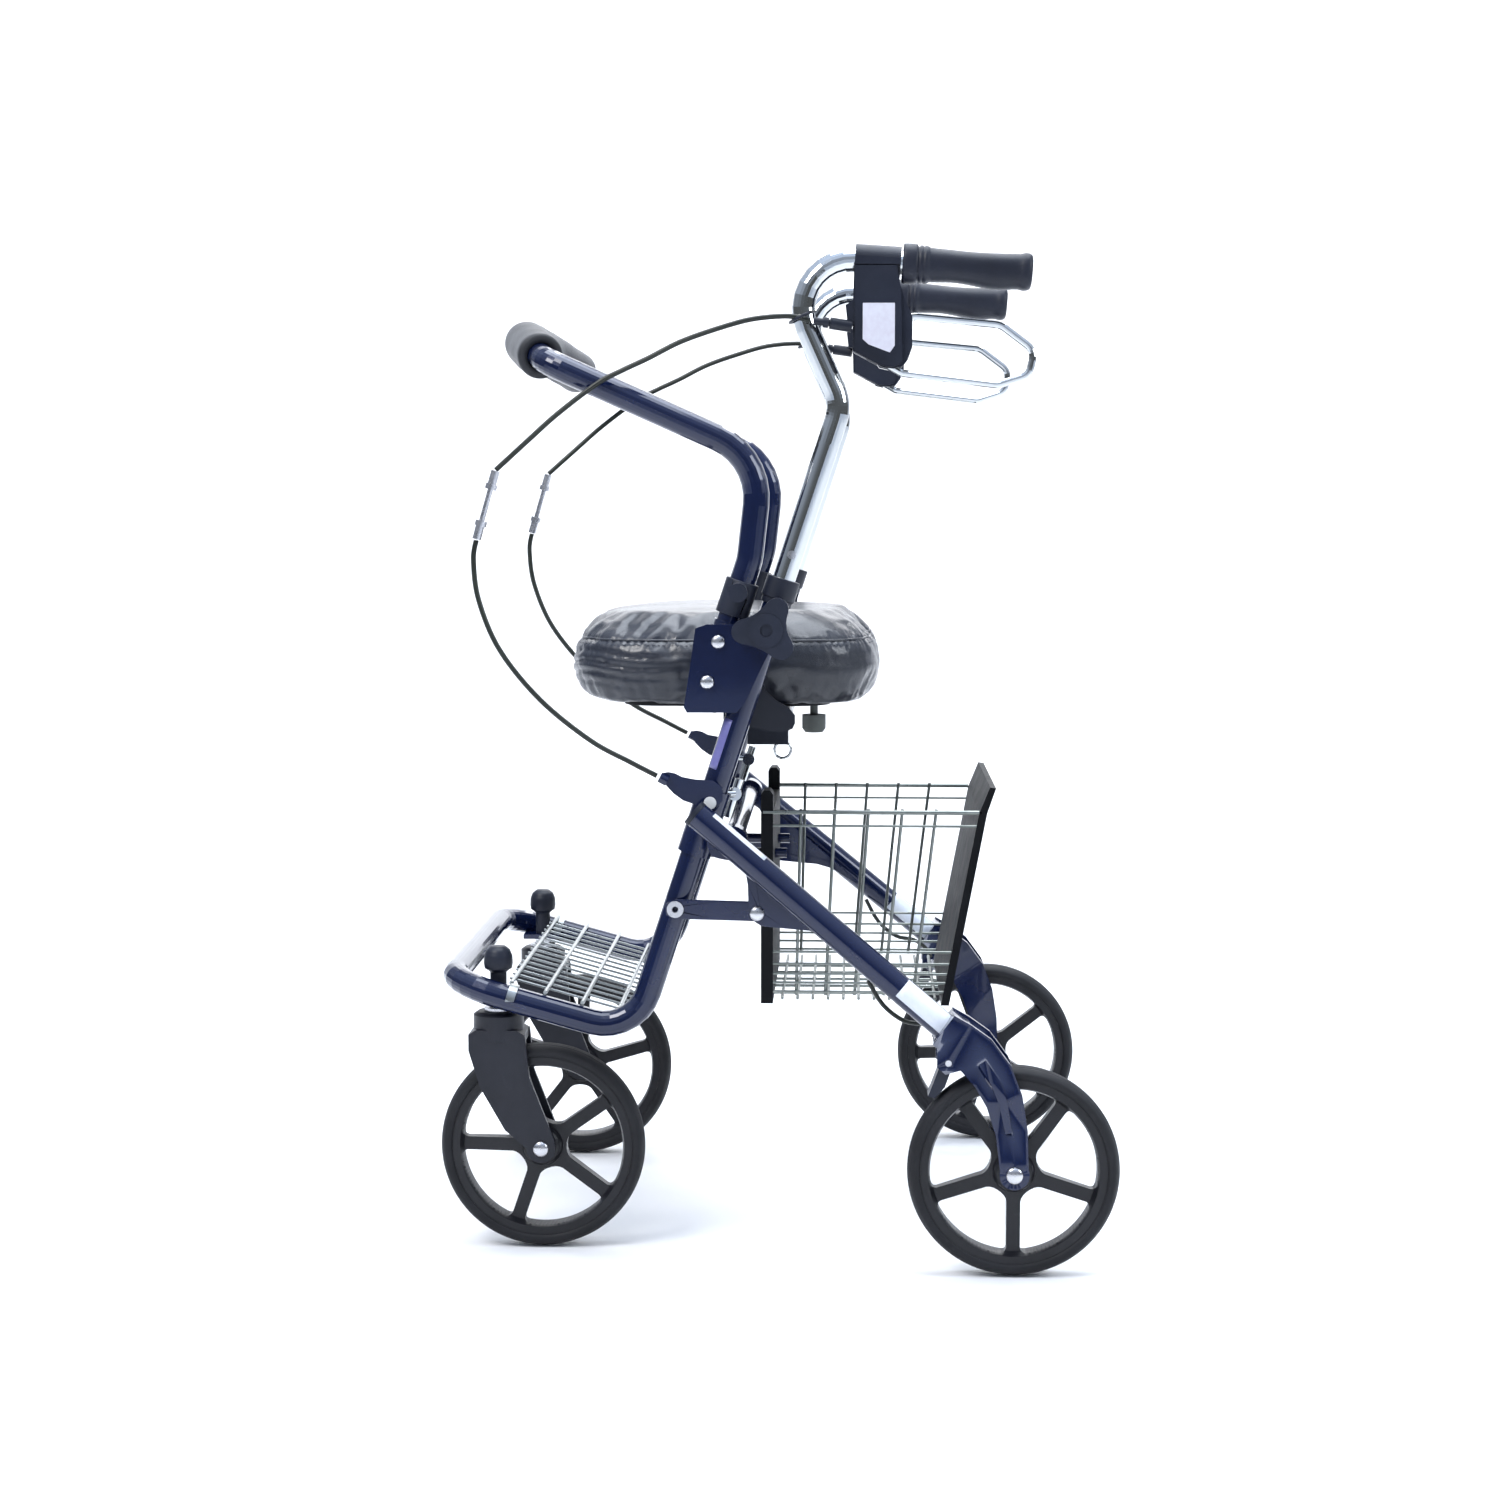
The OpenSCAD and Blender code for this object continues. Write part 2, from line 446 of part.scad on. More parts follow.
module brake_housing() {
  color(blk) difference() {
    union() {
      plate(HP, fy - 15, fy + 15);
      plate(HF, fy - 18.5, fy + 18.5);
      // upper half of the clamp round the tube
      rod(HT[2] + HD*75.6, HT[2] + HD*118.6, 15.4);
      plate([[-75.2, 947.6], [-118, 947.2], [-118, 953], [-75.2, 956]], fy - 18.5, fy + 18.5);
      // cable nose
      rod([-72, 226.6, 890], [-52, 229.6, 893], 5.6);
    }
    rod(HT[2] + HD*40, HT[3], hr + gap);
    // slot for the lever
    plate([[-150, 914], [-86, 914], [-86, 840], [-150, 840]], fy - 6.2, fy + 6.2);
    ybar(-100, 872, 3.1, fy - 14, fy + 14);
    rod([-60, 229.6, 892], [-46, 229.6, 893.9], 3.6);
  }
  // adjuster barrel and lever pin
  color(slv) { rod([-59.4, 229.6, 892.1], [-36.5, 229.6, 895], 3.4); ybar(-100, 872, 3, fy - 13.9, fy + 13.9); rod([-50.5, 229.6, 893.2], [-45.5, 229.6, 893.9], 5); }
}
module brake_housing_left() { brake_housing(); }
module brake_housing_right() { right() brake_housing(); }
LV = [[-100, fy, 882], [-129, fy, 900], [-212, fy, 892], [-244, fy, 868], [-239, fy, 845], [-210, fy, 836], [-120, fy, 847], [-101, fy, 858]];
module brake_lever() {
  color(chr) difference() {
    union() {
      bent(LV, [0, 14, 20, 14, 12, 14, 10, 0], 3.6, 5, 14);
      plate([[-92, 880], [-98, 887.3], [-106, 887], [-112, 872], [-106, 850], [-98, 852], [-91, 864]], fy - 4, fy + 4);
    }
    ybar(-100, 872, 3.06, fy - 10, fy + 10);
  }
}
module brake_lever_left() { brake_lever(); }
module brake_lever_right() { right() brake_lever(); }
module snap_button() { color(slv) intersection() { ybar(TOP[0] + U[0]*30, TOP[2] + U[2]*30, 4, fy + 6.5, fy + 13); rod(TOP + U*20, TOP + U*40, hr - 0.02); } }
module snap_button_left() { snap_button(); }
module snap_button_right() { right() snap_button(); }
// Three-lobed hand knob on the outside of the upright
module height_knob() {
  x = upx(606); z = 606;
  color(blk) {
    ybar(x, z, 9, fy + 17.6, fy + 28);
    difference() {
      union() {
        ybar(x, z, 16, fy + 24, fy + 40);
        // seen from this side forward is to the left
        plate(chaikin(chaikin([for (a = [63, 183, 311]) each [[x - 34*cos(a - 16), z + 34*sin(a - 16)], [x - 34*cos(a + 16), z + 34*sin(a + 16)], [x - 17*cos(a + 62), z + 17*sin(a + 62)]]])), fy + 25, fy + 39);
      }
      ybar(x, z, 6, fy + 38, fy + 42);
    }
  }
  color(slv) ybar(x, z, 4, fy + tr + 0.3, fy + 17.8);
}
module height_knob_left() { height_knob(); }
module height_knob_right() { right() height_knob(); }
// ---------------------------------------------------------------- casters
module caster_fork() {
  color(blk) difference() {
    union() {
      translate([cx, cy, 205]) cylinder(r = 24.5, h = 24);
      translate([cx, cy, 229]) cylinder(r1 = 24.5, r2 = 20, h = 3);
      plate([[cx + 27, 203.6], [cx + 27, 212], [cx + 20, 216], [cx - 20, 216], [cx - 27, 212], [cx - 27, 203.6]], cy - 23, cy + 23);
      for (s = [-1, 1]) {
        y0 = s > 0 ? cy + 17.5 : cy - 23;
        plate([[cx + 27, 212], [cx + 27, 196], [cx + 16, 160], [cx - 8, 118], [fx + 13, 99], [fx - 12, 96], [fx - 13, 108], [cx - 32, 170], [cx - 28, 212]], y0, y0 + 5.5);
        ybar(fx, wr, 14, y0, y0 + 5.5);
      }
    }
    translate([cx, cy, 200]) cylinder(r = 5.08, h = 50);
    translate([cx, cy, 200]) cylinder(r = 8.6, h = 6.4);
    ybar(fx, wr, 4.1, cy - 40, cy + 40);
    ybar(fx, wr, wr + 3, cy - 17.4, cy + 17.4, 96);
  }
}
module caster_fork_left() { caster_fork(); }
module caster_fork_right() { right() caster_fork(); }
module caster_axle() { color(slv) { ybar(fx, wr, 4, cy - 27, cy + 24); dome(fx, wr, cy + 23.1, 7.5, 5); ybar(fx, wr, 6.5, cy - 29, cy - 23.1, 6); } }
module caster_axle_left() { caster_axle(); }
module caster_axle_right() { right() caster_axle(); }
// ---------------------------------------------------------------- wheels
function offa(r, h) = asin(h/r);   // angle off a spoke's middle line at radius r
function win(a) = let (b = a + 360/spokes, h = spoke_w/2) chaikin(chaikin(concat(
  rnd_arc([0, 0], wr - 21, a + offa(wr - 21, h), b - offa(wr - 21, h), 6),
  [for (q = [[66, h], [38, h], [25, h]]) q[0]*[cos(b - offa(q[0], q[1])), sin(b - offa(q[0], q[1]))]],
  [for (q = [[25, h], [38, h], [66, h]]) q[0]*[cos(a + offa(q[0], q[1])), sin(a + offa(q[0], q[1]))]])));
module rim(x, y, a0) {
  color(blk) translate([x, y, wr]) rotate([90, 0, 0]) difference() {
    rotate_extrude($fn = 96) polygon([[4.06, -16.5], [14, -16.5], [17.5, -14], [20, -7], [wr - 23, -5.5], [wr - 19.5, -12.5], [wr - 12, -12.5], [wr - 12, 12.5], [wr - 19.5, 12.5], [wr - 23, 5.5], [20, 7], [17.5, 14], [14, 16.5], [4.06, 16.5]]);
    for (k = [0:spokes-1]) translate([0, 0, -20]) linear_extrude(40) polygon(win(a0 + k*360/spokes));
  }
}
module tyre(x, y) {
  w = wheel_w/2;
  color([0.13, 0.13, 0.14]) translate([x, y, wr]) rotate([90, 0, 0]) rotate_extrude($fn = 96)
    polygon(concat([[wr - 11.9, -w + 1.5], [wr - 7, -w]], [for (a = [-66:12:66]) [wr - 7 + 7*cos(a)/cos(0), w*sin(a)]], [[wr - 7, w], [wr - 11.9, w - 1.5]]));
}
module front_rim_left() { rim(fx, cy, 145); }
module front_rim_right() { right() rim(fx, cy, 20); }
module rear_rim_left() { rim(-fx, ry, 198); }
module rear_rim_right() { right() rim(-fx, ry, 70); }
module front_tyre_left() { tyre(fx, cy); }
module front_tyre_right() { right() tyre(fx, cy); }
module rear_tyre_left() { tyre(-fx, ry); }
module rear_tyre_right() { right() tyre(-fx, ry); }
// ---------------------------------------------------------------- basket
by = basket_w/2;
function rx(z) = -164 - (z - 234)*0.19;   // rear wall leans back
module basket_wires() {
  color(slv) {
    both() {
      // rim and side wires
      rod([14, by - 2, 420.5], [rx(420.5), by - 2, 420.5], 2.2, 24);
      for (z = [241, 250, 259, 269, 281, 407]) rod([14, by - 2, z], [rx(z), by - 2, z], 1.3, 20);
      for (i = [1:basket_ribs]) { x = 10 - i*(10 - rx(234))/(basket_ribs + 1); rod([x, by - 5.5, 237], [x - i*4.5, by - 5.5, 423.5], 1.6, 20); }
    }
    // floor
    for (i = [1:11]) { x = 10 - i*15.2; rod([x, -by + 3, 234], [x, by - 3, 234], 1.5, 20); }
    for (y = [-80, -40, 0, 40, 80]) rod([12, y, 230.9], [rx(231) + 1, y, 230.9], 1.5, 20);
  }
}
module basket_panels() {
  color(blk) {
    difference() {
      union() {
        translate([4, -by, 229]) cube([12, 2*by, 190]);
        both() plate([[4, 414], [16, 414], [16, 438], [13, 442], [7, 442], [4, 438]], by - 30, by);
      }
      both() ybarx(60, 371, 5.4);
      both() { rod([20, by - 2, 420.5], [0, by - 2, 420.5], 2.4, 24); for (z = [241, 250, 259, 269, 281, 407]) rod([20, by - 2, z], [0, by - 2, z], 1.7, 20); }
      for (y = [-80, -40, 0, 40, 80]) rod([20, y, 230.9], [0, y, 230.9], 1.7, 20);
    }
    difference() {
      plate([[rx(228), 228], [rx(228) - 8, 228], [rx(300) - 8, 300], [rx(420) - 8, 420], [rx(444) - 12, 445], [rx(444) - 6, 446], [rx(420), 420]], -by, by);
      both() { rod([20, by - 2, 420.5], [rx(420.5) - 3, by - 2, 420.5], 2.4, 24); for (z = [241, 250, 259, 269, 281, 407]) rod([20, by - 2, z], [rx(z) - 3, by - 2, z], 1.7, 20); }
      for (y = [-80, -40, 0, 40, 80]) rod([20, y, 230.9], [rx(231) - 3, y, 230.9], 1.7, 20);
    }
  }
}
module ybarx(y, z, r) { translate([-20, y, z]) rotate([0, 90, 0]) cylinder(r = r, h = 60); }

front_frame();
upright_collars();
backrest_sockets();
frame_bolts();
seat_rails();
tray_wires();
caster_stems();
caster_caps();
brake_cable_left();
brake_cable_right();
inline_adjusters();
lock_housing();
hub_sleeves();
guide_rods();
fold_button_left();
fold_button_right();
rear_legs();
leg_gussets();
rear_bolts();
rear_fork_left();
rear_fork_right();
leg_cables();
leg_plugs();
link_bars();
seat_plate();
seat_cushion();
seat_latch_knob();
pull_ring();
backrest_bar();
backrest_foam();
backrest_knob_left();
backrest_knob_right();
handle_tube_left();
grip_left();
brake_housing_left();
brake_lever_left();
snap_button_left();
height_knob_left();
brake_shoe_left();
handle_tube_right();
grip_right();
brake_housing_right();
brake_lever_right();
snap_button_right();
height_knob_right();
brake_shoe_right();
caster_fork_left();
caster_axle_left();
front_rim_left();
front_tyre_left();
caster_fork_right();
caster_axle_right();
front_rim_right();
front_tyre_right();
rear_rim_left();
rear_tyre_left();
rear_rim_right();
rear_tyre_right();
basket_wires();
basket_panels();
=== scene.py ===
import json
import math
import random
import bmesh
import bpy
import numpy as np
from mathutils import Matrix, Vector, Quaternion


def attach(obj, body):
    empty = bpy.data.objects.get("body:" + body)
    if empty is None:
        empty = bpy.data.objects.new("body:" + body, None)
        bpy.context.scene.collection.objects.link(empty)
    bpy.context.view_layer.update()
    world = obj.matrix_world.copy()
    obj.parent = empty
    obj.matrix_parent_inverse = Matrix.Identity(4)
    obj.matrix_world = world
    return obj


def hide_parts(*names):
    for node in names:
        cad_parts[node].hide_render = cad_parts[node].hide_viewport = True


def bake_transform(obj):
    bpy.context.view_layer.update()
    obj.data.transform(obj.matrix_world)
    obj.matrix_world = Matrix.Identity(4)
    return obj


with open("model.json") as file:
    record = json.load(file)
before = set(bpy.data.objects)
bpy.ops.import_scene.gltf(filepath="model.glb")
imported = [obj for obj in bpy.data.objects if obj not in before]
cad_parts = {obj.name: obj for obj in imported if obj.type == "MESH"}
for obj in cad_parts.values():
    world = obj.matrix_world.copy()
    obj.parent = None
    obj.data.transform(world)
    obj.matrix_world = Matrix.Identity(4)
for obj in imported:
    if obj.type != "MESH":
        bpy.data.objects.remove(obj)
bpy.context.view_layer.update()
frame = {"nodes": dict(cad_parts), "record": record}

N = frame["nodes"]
random.seed(7)

# ------------------------------------------------------------------ constants that repeat part.scad, in metres
FY = 0.214
TK = 0.3272
UT = math.atan(TK)
U = Vector((-math.sin(UT), 0, math.cos(UT)))
def upx(z): return (94.5 - (z*1000 - 338.5)*TK)/1000
def sox(z): return (41.3 - (z*1000 - 618.6)*TK)/1000
TRK = 0.2773
def trz(x): return (214 + (x*1000 - 135.2)*TRK)/1000

# ------------------------------------------------------------------ camera
def camera():
    a, b = math.radians(2.169), math.radians(5.281)
    loc = Vector((-0.075, 2.8188, 0.7309))
    F = Vector((math.sin(a)*math.cos(b), -math.cos(a)*math.cos(b), -math.sin(b)))
    R = Vector((-math.cos(a), -math.sin(a), 0))
    Up = R.cross(F)
    m = Matrix((R, Up, -F)).transposed().to_4x4()
    m.translation = loc
    cd = bpy.data.cameras.new("camera")
    cd.sensor_width = 36
    cd.sensor_fit = "HORIZONTAL"
    cd.lens = 2737.0/1500*36
    cd.clip_start, cd.clip_end = 0.05, 60
    co = bpy.data.objects.new("camera", cd)
    bpy.context.scene.collection.objects.link(co)
    co.matrix_world = m
    bpy.context.scene.camera = co
camera()

# ------------------------------------------------------------------ node material helpers
class Mat:
    def __init__(self, name):
        self.m = bpy.data.materials.new(name)
        self.m.use_nodes = True
        self.t = self.m.node_tree
        self.t.nodes.clear()
        self.out = self.t.nodes.new("ShaderNodeOutputMaterial")
        self.b = self.t.nodes.new("ShaderNodeBsdfPrincipled")
        self.t.links.new(self.b.outputs[0], self.out.inputs[0])
        self.co = self.t.nodes.new("ShaderNodeTexCoord").outputs["Object"]
    def new(self, kind, **props):
        n = self.t.nodes.new(kind)
        for k, v in props.items():
            if k in n.inputs.keys(): n.inputs[k].default_value = v
            else: setattr(n, k, v)
        return n
    def link(self, a, b): self.t.links.new(a, b)
    def set(self, **kw):
        for k, v in kw.items(): self.b.inputs[k.replace("_", " ")].default_value = v
    def mapped(self, scale=(1, 1, 1), rot=(0, 0, 0)):
        n = self.new("ShaderNodeMapping"); n.inputs["Scale"].default_value = scale; n.inputs["Rotation"].default_value = rot
        self.link(self.co, n.inputs["Vector"]); return n.outputs[0]
    def noise(self, scale, detail=4, rough=0.55, vec=None, dist=0.0):
        n = self.new("ShaderNodeTexNoise"); n.inputs["Scale"].default_value = scale; n.inputs["Detail"].default_value = detail
        n.inputs["Roughness"].default_value = rough; n.inputs["Distortion"].default_value = dist
        self.link(vec if vec is not None else self.co, n.inputs["Vector"]); return n.outputs["Fac"]
    def voronoi(self, scale, feature="F1", vec=None, rand=1.0):
        n = self.new("ShaderNodeTexVoronoi"); n.feature = feature; n.inputs["Scale"].default_value = scale; n.inputs["Randomness"].default_value = rand
        self.link(vec if vec is not None else self.co, n.inputs["Vector"]); return n.outputs["Distance"]
    def ramp(self, fac, stops, interp="LINEAR"):
        n = self.new("ShaderNodeValToRGB"); r = n.color_ramp; r.interpolation = interp
        while len(r.elements) > 1: r.elements.remove(r.elements[-1])
        r.elements[0].position = stops[0][0]; r.elements[0].color = col(stops[0][1])
        for p, c in stops[1:]: r.elements.new(p).color = col(c)
        self.link(fac, n.inputs[0]); return n.outputs[0]
    def math(self, op, a, b=None, clamp=False):
        n = self.new("ShaderNodeMath"); n.operation = op; n.use_clamp = clamp
        for i, v in enumerate((a, b)):
            if v is None: continue
            if isinstance(v, (int, float)): n.inputs[i].default_value = v
            else: self.link(v, n.inputs[i])
        return n.outputs[0]
    def mix(self, fac, a, b):
        n = self.new("ShaderNodeMix"); n.data_type = "RGBA"
        for s, v in ((n.inputs[0], fac), (n.inputs[6], a), (n.inputs[7], b)):
            if isinstance(v, (int, float)): s.default_value = v
            elif isinstance(v, (tuple, list)): s.default_value = col(v)
            else: self.link(v, s)
        return n.outputs[2]
    def bump(self, height, strength=0.3, dist=0.001, prev=None):
        n = self.new("ShaderNodeBump"); n.inputs["Strength"].default_value = strength; n.inputs["Distance"].default_value = dist
        self.link(height, n.inputs["Height"])
        if prev is not None: self.link(prev, n.inputs["Normal"])
        return n.outputs[0]
    def to(self, socket, v): self.link(v, self.b.inputs[socket])
def col(c):
    if isinstance(c, (int, float)): return (c, c, c, 1)
    return tuple(c) + ((1,) if len(c) == 3 else ())
def srgb(r, g, b):
    f = lambda v: (v/255/12.92) if v/255 <= 0.04045 else ((v/255 + 0.055)/1.055)**2.4
    return (f(r), f(g), f(b))

def paint(name, base, dark, rough=0.2, coat=0.7):
    m = Mat(name)
    n1 = m.noise(9, 5); n2 = m.noise(900, 2)
    c = m.mix(m.ramp(n1, [(0.3, 0), (0.7, 1)]), dark, base)
    # faint scuffs and dust
    sc = m.noise(60, 6, 0.7, m.mapped((1, 1, 5)), 1.5)
    s = m.ramp(sc, [(0.66, 0), (0.78, 0.35)])
    c = m.mix(s, c, tuple(v*1.9 + 0.012 for v in base))
    m.to("Base Color", c)
    r = m.math("ADD", m.math("MULTIPLY", m.noise(26, 5), 0.16), rough - 0.06)
    r = m.math("ADD", r, m.math("MULTIPLY", s, 0.25))
    m.to("Roughness", r)
    m.set(Metallic=0.15, IOR=1.5, Specular_IOR_Level=0.28, Coat_Weight=coat, Coat_Roughness=0.05)
    h = m.math("ADD", m.math("MULTIPLY", n2, 0.25), m.noise(120, 3))
    m.to("Normal", m.bump(h, 0.05, 0.0004))
    return m.m

def plastic(name, base, rough=0.45, grain=1400, strength=0.22, spread=0.35, spec=0.5):
    m = Mat(name)
    n1 = m.noise(14, 5)
    c = m.mix(m.ramp(n1, [(0.3, 0), (0.75, 1)]), tuple(v*(1-spread) for v in base), tuple(v*(1+spread) + 0.002 for v in base))
    d = m.ramp(m.noise(48, 7, 0.7, None, 0.8), [(0.62, 0), (0.8, 0.3)])
    c = m.mix(d, c, tuple(v*2.2 + 0.008 for v in base))
    m.to("Base Color", c)
    m.to("Roughness", m.math("ADD", m.math("MULTIPLY", m.noise(60, 4), 0.22), rough - 0.1))
    m.set(IOR=1.47, Specular_IOR_Level=spec)
    g = m.math("ADD", m.voronoi(grain), m.math("MULTIPLY", m.noise(grain*0.6, 3), 0.7))
    m.to("Normal", m.bump(g, strength, 0.00025))
    return m.m

def metal(name, base, rough=0.1, brush=None, tint=0.06, strength=0.04):
    m = Mat(name)
    n = m.noise(22, 5, 0.6)
    c = m.mix(m.ramp(n, [(0.3, 0), (0.7, 1)]), tuple(max(v - tint, 0) for v in base), base)
    spots = m.ramp(m.noise(170, 6, 0.75), [(0.68, 0), (0.8, 0.5)])
    c = m.mix(spots, c, tuple(v*0.6 for v in base))
    m.to("Base Color", c)
    m.to("Roughness", m.math("ADD", m.math("MULTIPLY", m.noise(80, 6, 0.65), rough*0.9 + 0.03), rough*0.55))
    m.set(Metallic=1.0)
    h = m.noise(500 if brush is None else 300, 3, 0.5, m.mapped(brush) if brush else None)
    m.to("Normal", m.bump(h, strength, 0.0003))
    return m.m

MAT = {
    "navy_paint": paint("navy_paint", (0.0050, 0.0115, 0.050), (0.0032, 0.0075, 0.034), 0.16, 0.62),
    "dark_paint": paint("dark_paint", (0.010, 0.011, 0.018), (0.006, 0.007, 0.012), 0.3, 0.4),
    "black_plastic": plastic("black_plastic", (0.0095, 0.0125, 0.0240), 0.42, spec=0.38),
    "caster_plastic": plastic("caster_plastic", (0.0080, 0.0092, 0.0155), 0.4, spec=0.4),
    "seat_board": plastic("seat_board", (0.006, 0.006, 0.008), 0.6, spec=0.3),
    "bolt_steel": metal("bolt_steel", (0.62, 0.62, 0.64), 0.26, None, 0.1, 0.1),
    "chrome": metal("chrome", (0.64, 0.66, 0.66), 0.05),
    "basket_wire": metal("basket_wire", (0.30, 0.32, 0.30), 0.3, None, 0.1, 0.12),
    "cable_sheath": plastic("cable_sheath", (0.010, 0.013, 0.009), 0.36, 900, 0.3),
    "white_button": plastic("white_button", (0.66, 0.67, 0.66), 0.35, 1200, 0.08, 0.04),
    "grey_plastic": plastic("grey_plastic", (0.11, 0.12, 0.11), 0.5),
    "grip_rubber": plastic("grip_rubber", (0.0080, 0.0105, 0.0210), 0.46, 900, 0.4, spec=0.4),
    "wheel_plastic": plastic("wheel_plastic", (0.0060, 0.0062, 0.0090), 0.36, spec=0.4),
    "tyre": plastic("tyre", (0.0090, 0.0094, 0.0120), 0.62, 600, 0.45, spec=0.35),
}
def foam_mat():
    m = Mat("foam")
    c = m.mix(m.ramp(m.noise(30, 5), [(0.3, 0), (0.7, 1)]), (0.0055, 0.0065, 0.0095), (0.011, 0.0125, 0.018))
    pores = m.ramp(m.voronoi(900), [(0.0, 0), (0.32, 1)])
    m.to("Base Color", m.mix(pores, (0.004, 0.004, 0.005), c))
    m.to("Roughness", m.math("ADD", m.math("MULTIPLY", m.noise(90, 4), 0.2), 0.5))
    m.set(IOR=1.5, Sheen_Weight=0.25, Sheen_Roughness=0.4)
    h = m.math("ADD", m.voronoi(900), m.math("MULTIPLY", m.noise(300, 4), 0.8))
    m.to("Normal", m.bump(h, 0.4, 0.0005))
    return m.m
def vinyl_mat():
    m = Mat("black_vinyl")
    c = m.mix(m.ramp(m.noise(11, 6), [(0.3, 0), (0.7, 1)]), (0.0046, 0.0064, 0.0130), (0.0088, 0.0125, 0.0240))
    cells = m.voronoi(620, "DISTANCE_TO_EDGE")
    crease = m.ramp(cells, [(0.0, 1), (0.09, 0)])
    m.to("Base Color", m.mix(m.math("MULTIPLY", crease, 0.5), c, (0.004, 0.0045, 0.007)))
    m.to("Roughness", m.math("ADD", m.math("MULTIPLY", m.noise(40, 5), 0.14), m.math("ADD", m.math("MULTIPLY", crease, 0.18), 0.24)))
    m.set(IOR=1.5, Specular_IOR_Level=0.5, Coat_Weight=0.38, Coat_Roughness=0.16)
    h1 = m.ramp(cells, [(0.0, 0), (0.12, 0.8), (0.4, 1)])
    b1 = m.bump(h1, 0.3, 0.0005)
    b2 = m.bump(m.noise(30, 5, 0.6, m.mapped((1, 1.6, 1)), 0.6), 0.2, 0.004, b1)
    m.to("Normal", b2)
    return m.m
def thread_mat():
    m = Mat("thread")
    c = m.mix(m.voronoi(1500), (0.012, 0.013, 0.02), (0.03, 0.033, 0.045))
    m.to("Base Color", c)
    m.to("Roughness", m.math("ADD", m.math("MULTIPLY", m.noise(300, 3), 0.2), 0.5))
    m.to("Normal", m.bump(m.voronoi(1800), 0.5, 0.0004))
    return m.m
def paper_mat(name, base, low, edge):
    """A blank label: clean film with a faint tint in random patches and slight wear."""
    m = Mat(name)
    z = m.new("ShaderNodeSeparateXYZ"); m.link(m.co, z.inputs[0])
    n = m.math("ADD", m.math("MULTIPLY", m.noise(220, 4), 0.35), m.math("MULTIPLY", m.noise(25, 4), 0.65))
    c = m.mix(m.ramp(n, [(0.4, 0), (0.62, 0.6)]), base, low)
    worn = m.ramp(m.noise(130, 7, 0.8), [(0.66, 0), (0.74, 0.5)])
    m.to("Base Color", m.mix(worn, c, edge))
    m.to("Roughness", m.math("ADD", m.math("MULTIPLY", m.noise(60, 4), 0.25), 0.3))
    m.set(IOR=1.48, Coat_Weight=0.3, Coat_Roughness=0.15)
    m.to("Normal", m.bump(m.noise(400, 3), 0.08, 0.0003))
    return m.m
MAT["foam"] = foam_mat()
MAT["black_vinyl"] = vinyl_mat()
MAT["thread"] = thread_mat()
LABEL = paper_mat("label_film", (0.62, 0.63, 0.7), (0.5, 0.46, 0.55), (0.4, 0.42, 0.5))
# pale film for the leg labels; the same film is also the painted highlight strip on each leg
TAPE_AND_HIGHLIGHT = paper_mat("tape_and_highlight_film", (0.72, 0.76, 0.82), (0.62, 0.67, 0.76), (0.45, 0.5, 0.6))
STRIP = paper_mat("strip_film", (0.17, 0.165, 0.40), (0.10, 0.10, 0.28), (0.36, 0.36, 0.58))

# ------------------------------------------------------------------ CAD nodes take their slot's material
SLOT = {s["node"]: s["material_slot"] for s in frame["record"]["subparts"]}
for name, o in N.items():
    o.data.materials.clear()
    o.data.materials.append(MAT[SLOT[name]])
# the end panels are a duller black, and the tray wires are plated duller than the handle tubes
for name, m in (("basket_panels", plastic("panel_black", (0.0035, 0.0040, 0.0055), 0.55, spec=0.15)), ("tray_wires", metal("tray_wire", (0.40, 0.42, 0.42), 0.28, None, 0.1, 0.1))):
    N[name].data.materials.clear(); N[name].data.materials.append(m)

def soften(names, width, segments=2, angle=38):
    """Small rounded edges on hard CAD pieces, for the highlights that moulded and pressed parts have."""
    for name in names:
        o = N[name]
        w = o.modifiers.new("weld", "WELD"); w.merge_threshold = 0.00002
        b = o.modifiers.new("bevel", "BEVEL"); b.width = width; b.segments = segments
        b.limit_method = "ANGLE"; b.angle_limit = math.radians(angle); b.use_clamp_overlap = True
        for p in o.data.polygons: p.use_smooth = True
        n = o.modifiers.new("normals", "WEIGHTED_NORMAL"); n.keep_sharp = False; n.weight = 60
def lr(*names): return [n + s for n in names for s in ("_left", "_right")]
soften(lr("brake_housing"), 0.0022, 3)
soften(lr("rear_fork", "caster_fork", "height_knob"), 0.0016, 3)
soften(["leg_gussets", "backrest_sockets", "basket_panels", "seat_plate", "seat_rails", "lock_housing", "link_bars", "hub_sleeves", "upright_collars", "caster_caps"], 0.0009)
soften(lr("front_rim", "rear_rim"), 0.0012)
soften(lr("backrest_knob"), 0.0012, 3)
soften(["seat_latch_knob"], 0.001, 2)

# ------------------------------------------------------------------ mesh helpers
def mesh_obj(name, verts, faces, mat, smooth=True):
    me = bpy.data.meshes.new(name)
    me.from_pydata([tuple(v) for v in verts], [], faces)
    me.validate(); me.update()
    if smooth:
        for p in me.polygons: p.use_smooth = True
    me.materials.append(mat)
    o = bpy.data.objects.new(name, me)
    bpy.context.scene.collection.objects.link(o)
    return o
def frames_along(P, closed=False):
    n = len(P); T = []
    for i in range(n):
        a = P[(i-1) % n] if closed else P[max(i-1, 0)]
        b = P[(i+1) % n] if closed else P[min(i+1, n-1)]
        T.append((b - a).normalized())
    up = Vector((0, 1, 0)) if abs(T[0].y) < 0.9 else Vector((0, 0, 1))
    x = (up - T[0]*up.dot(T[0])).normalized(); X = []
    for t in T:
        x = (x - t*x.dot(t)).normalized(); X.append(x.copy())
    return T, X
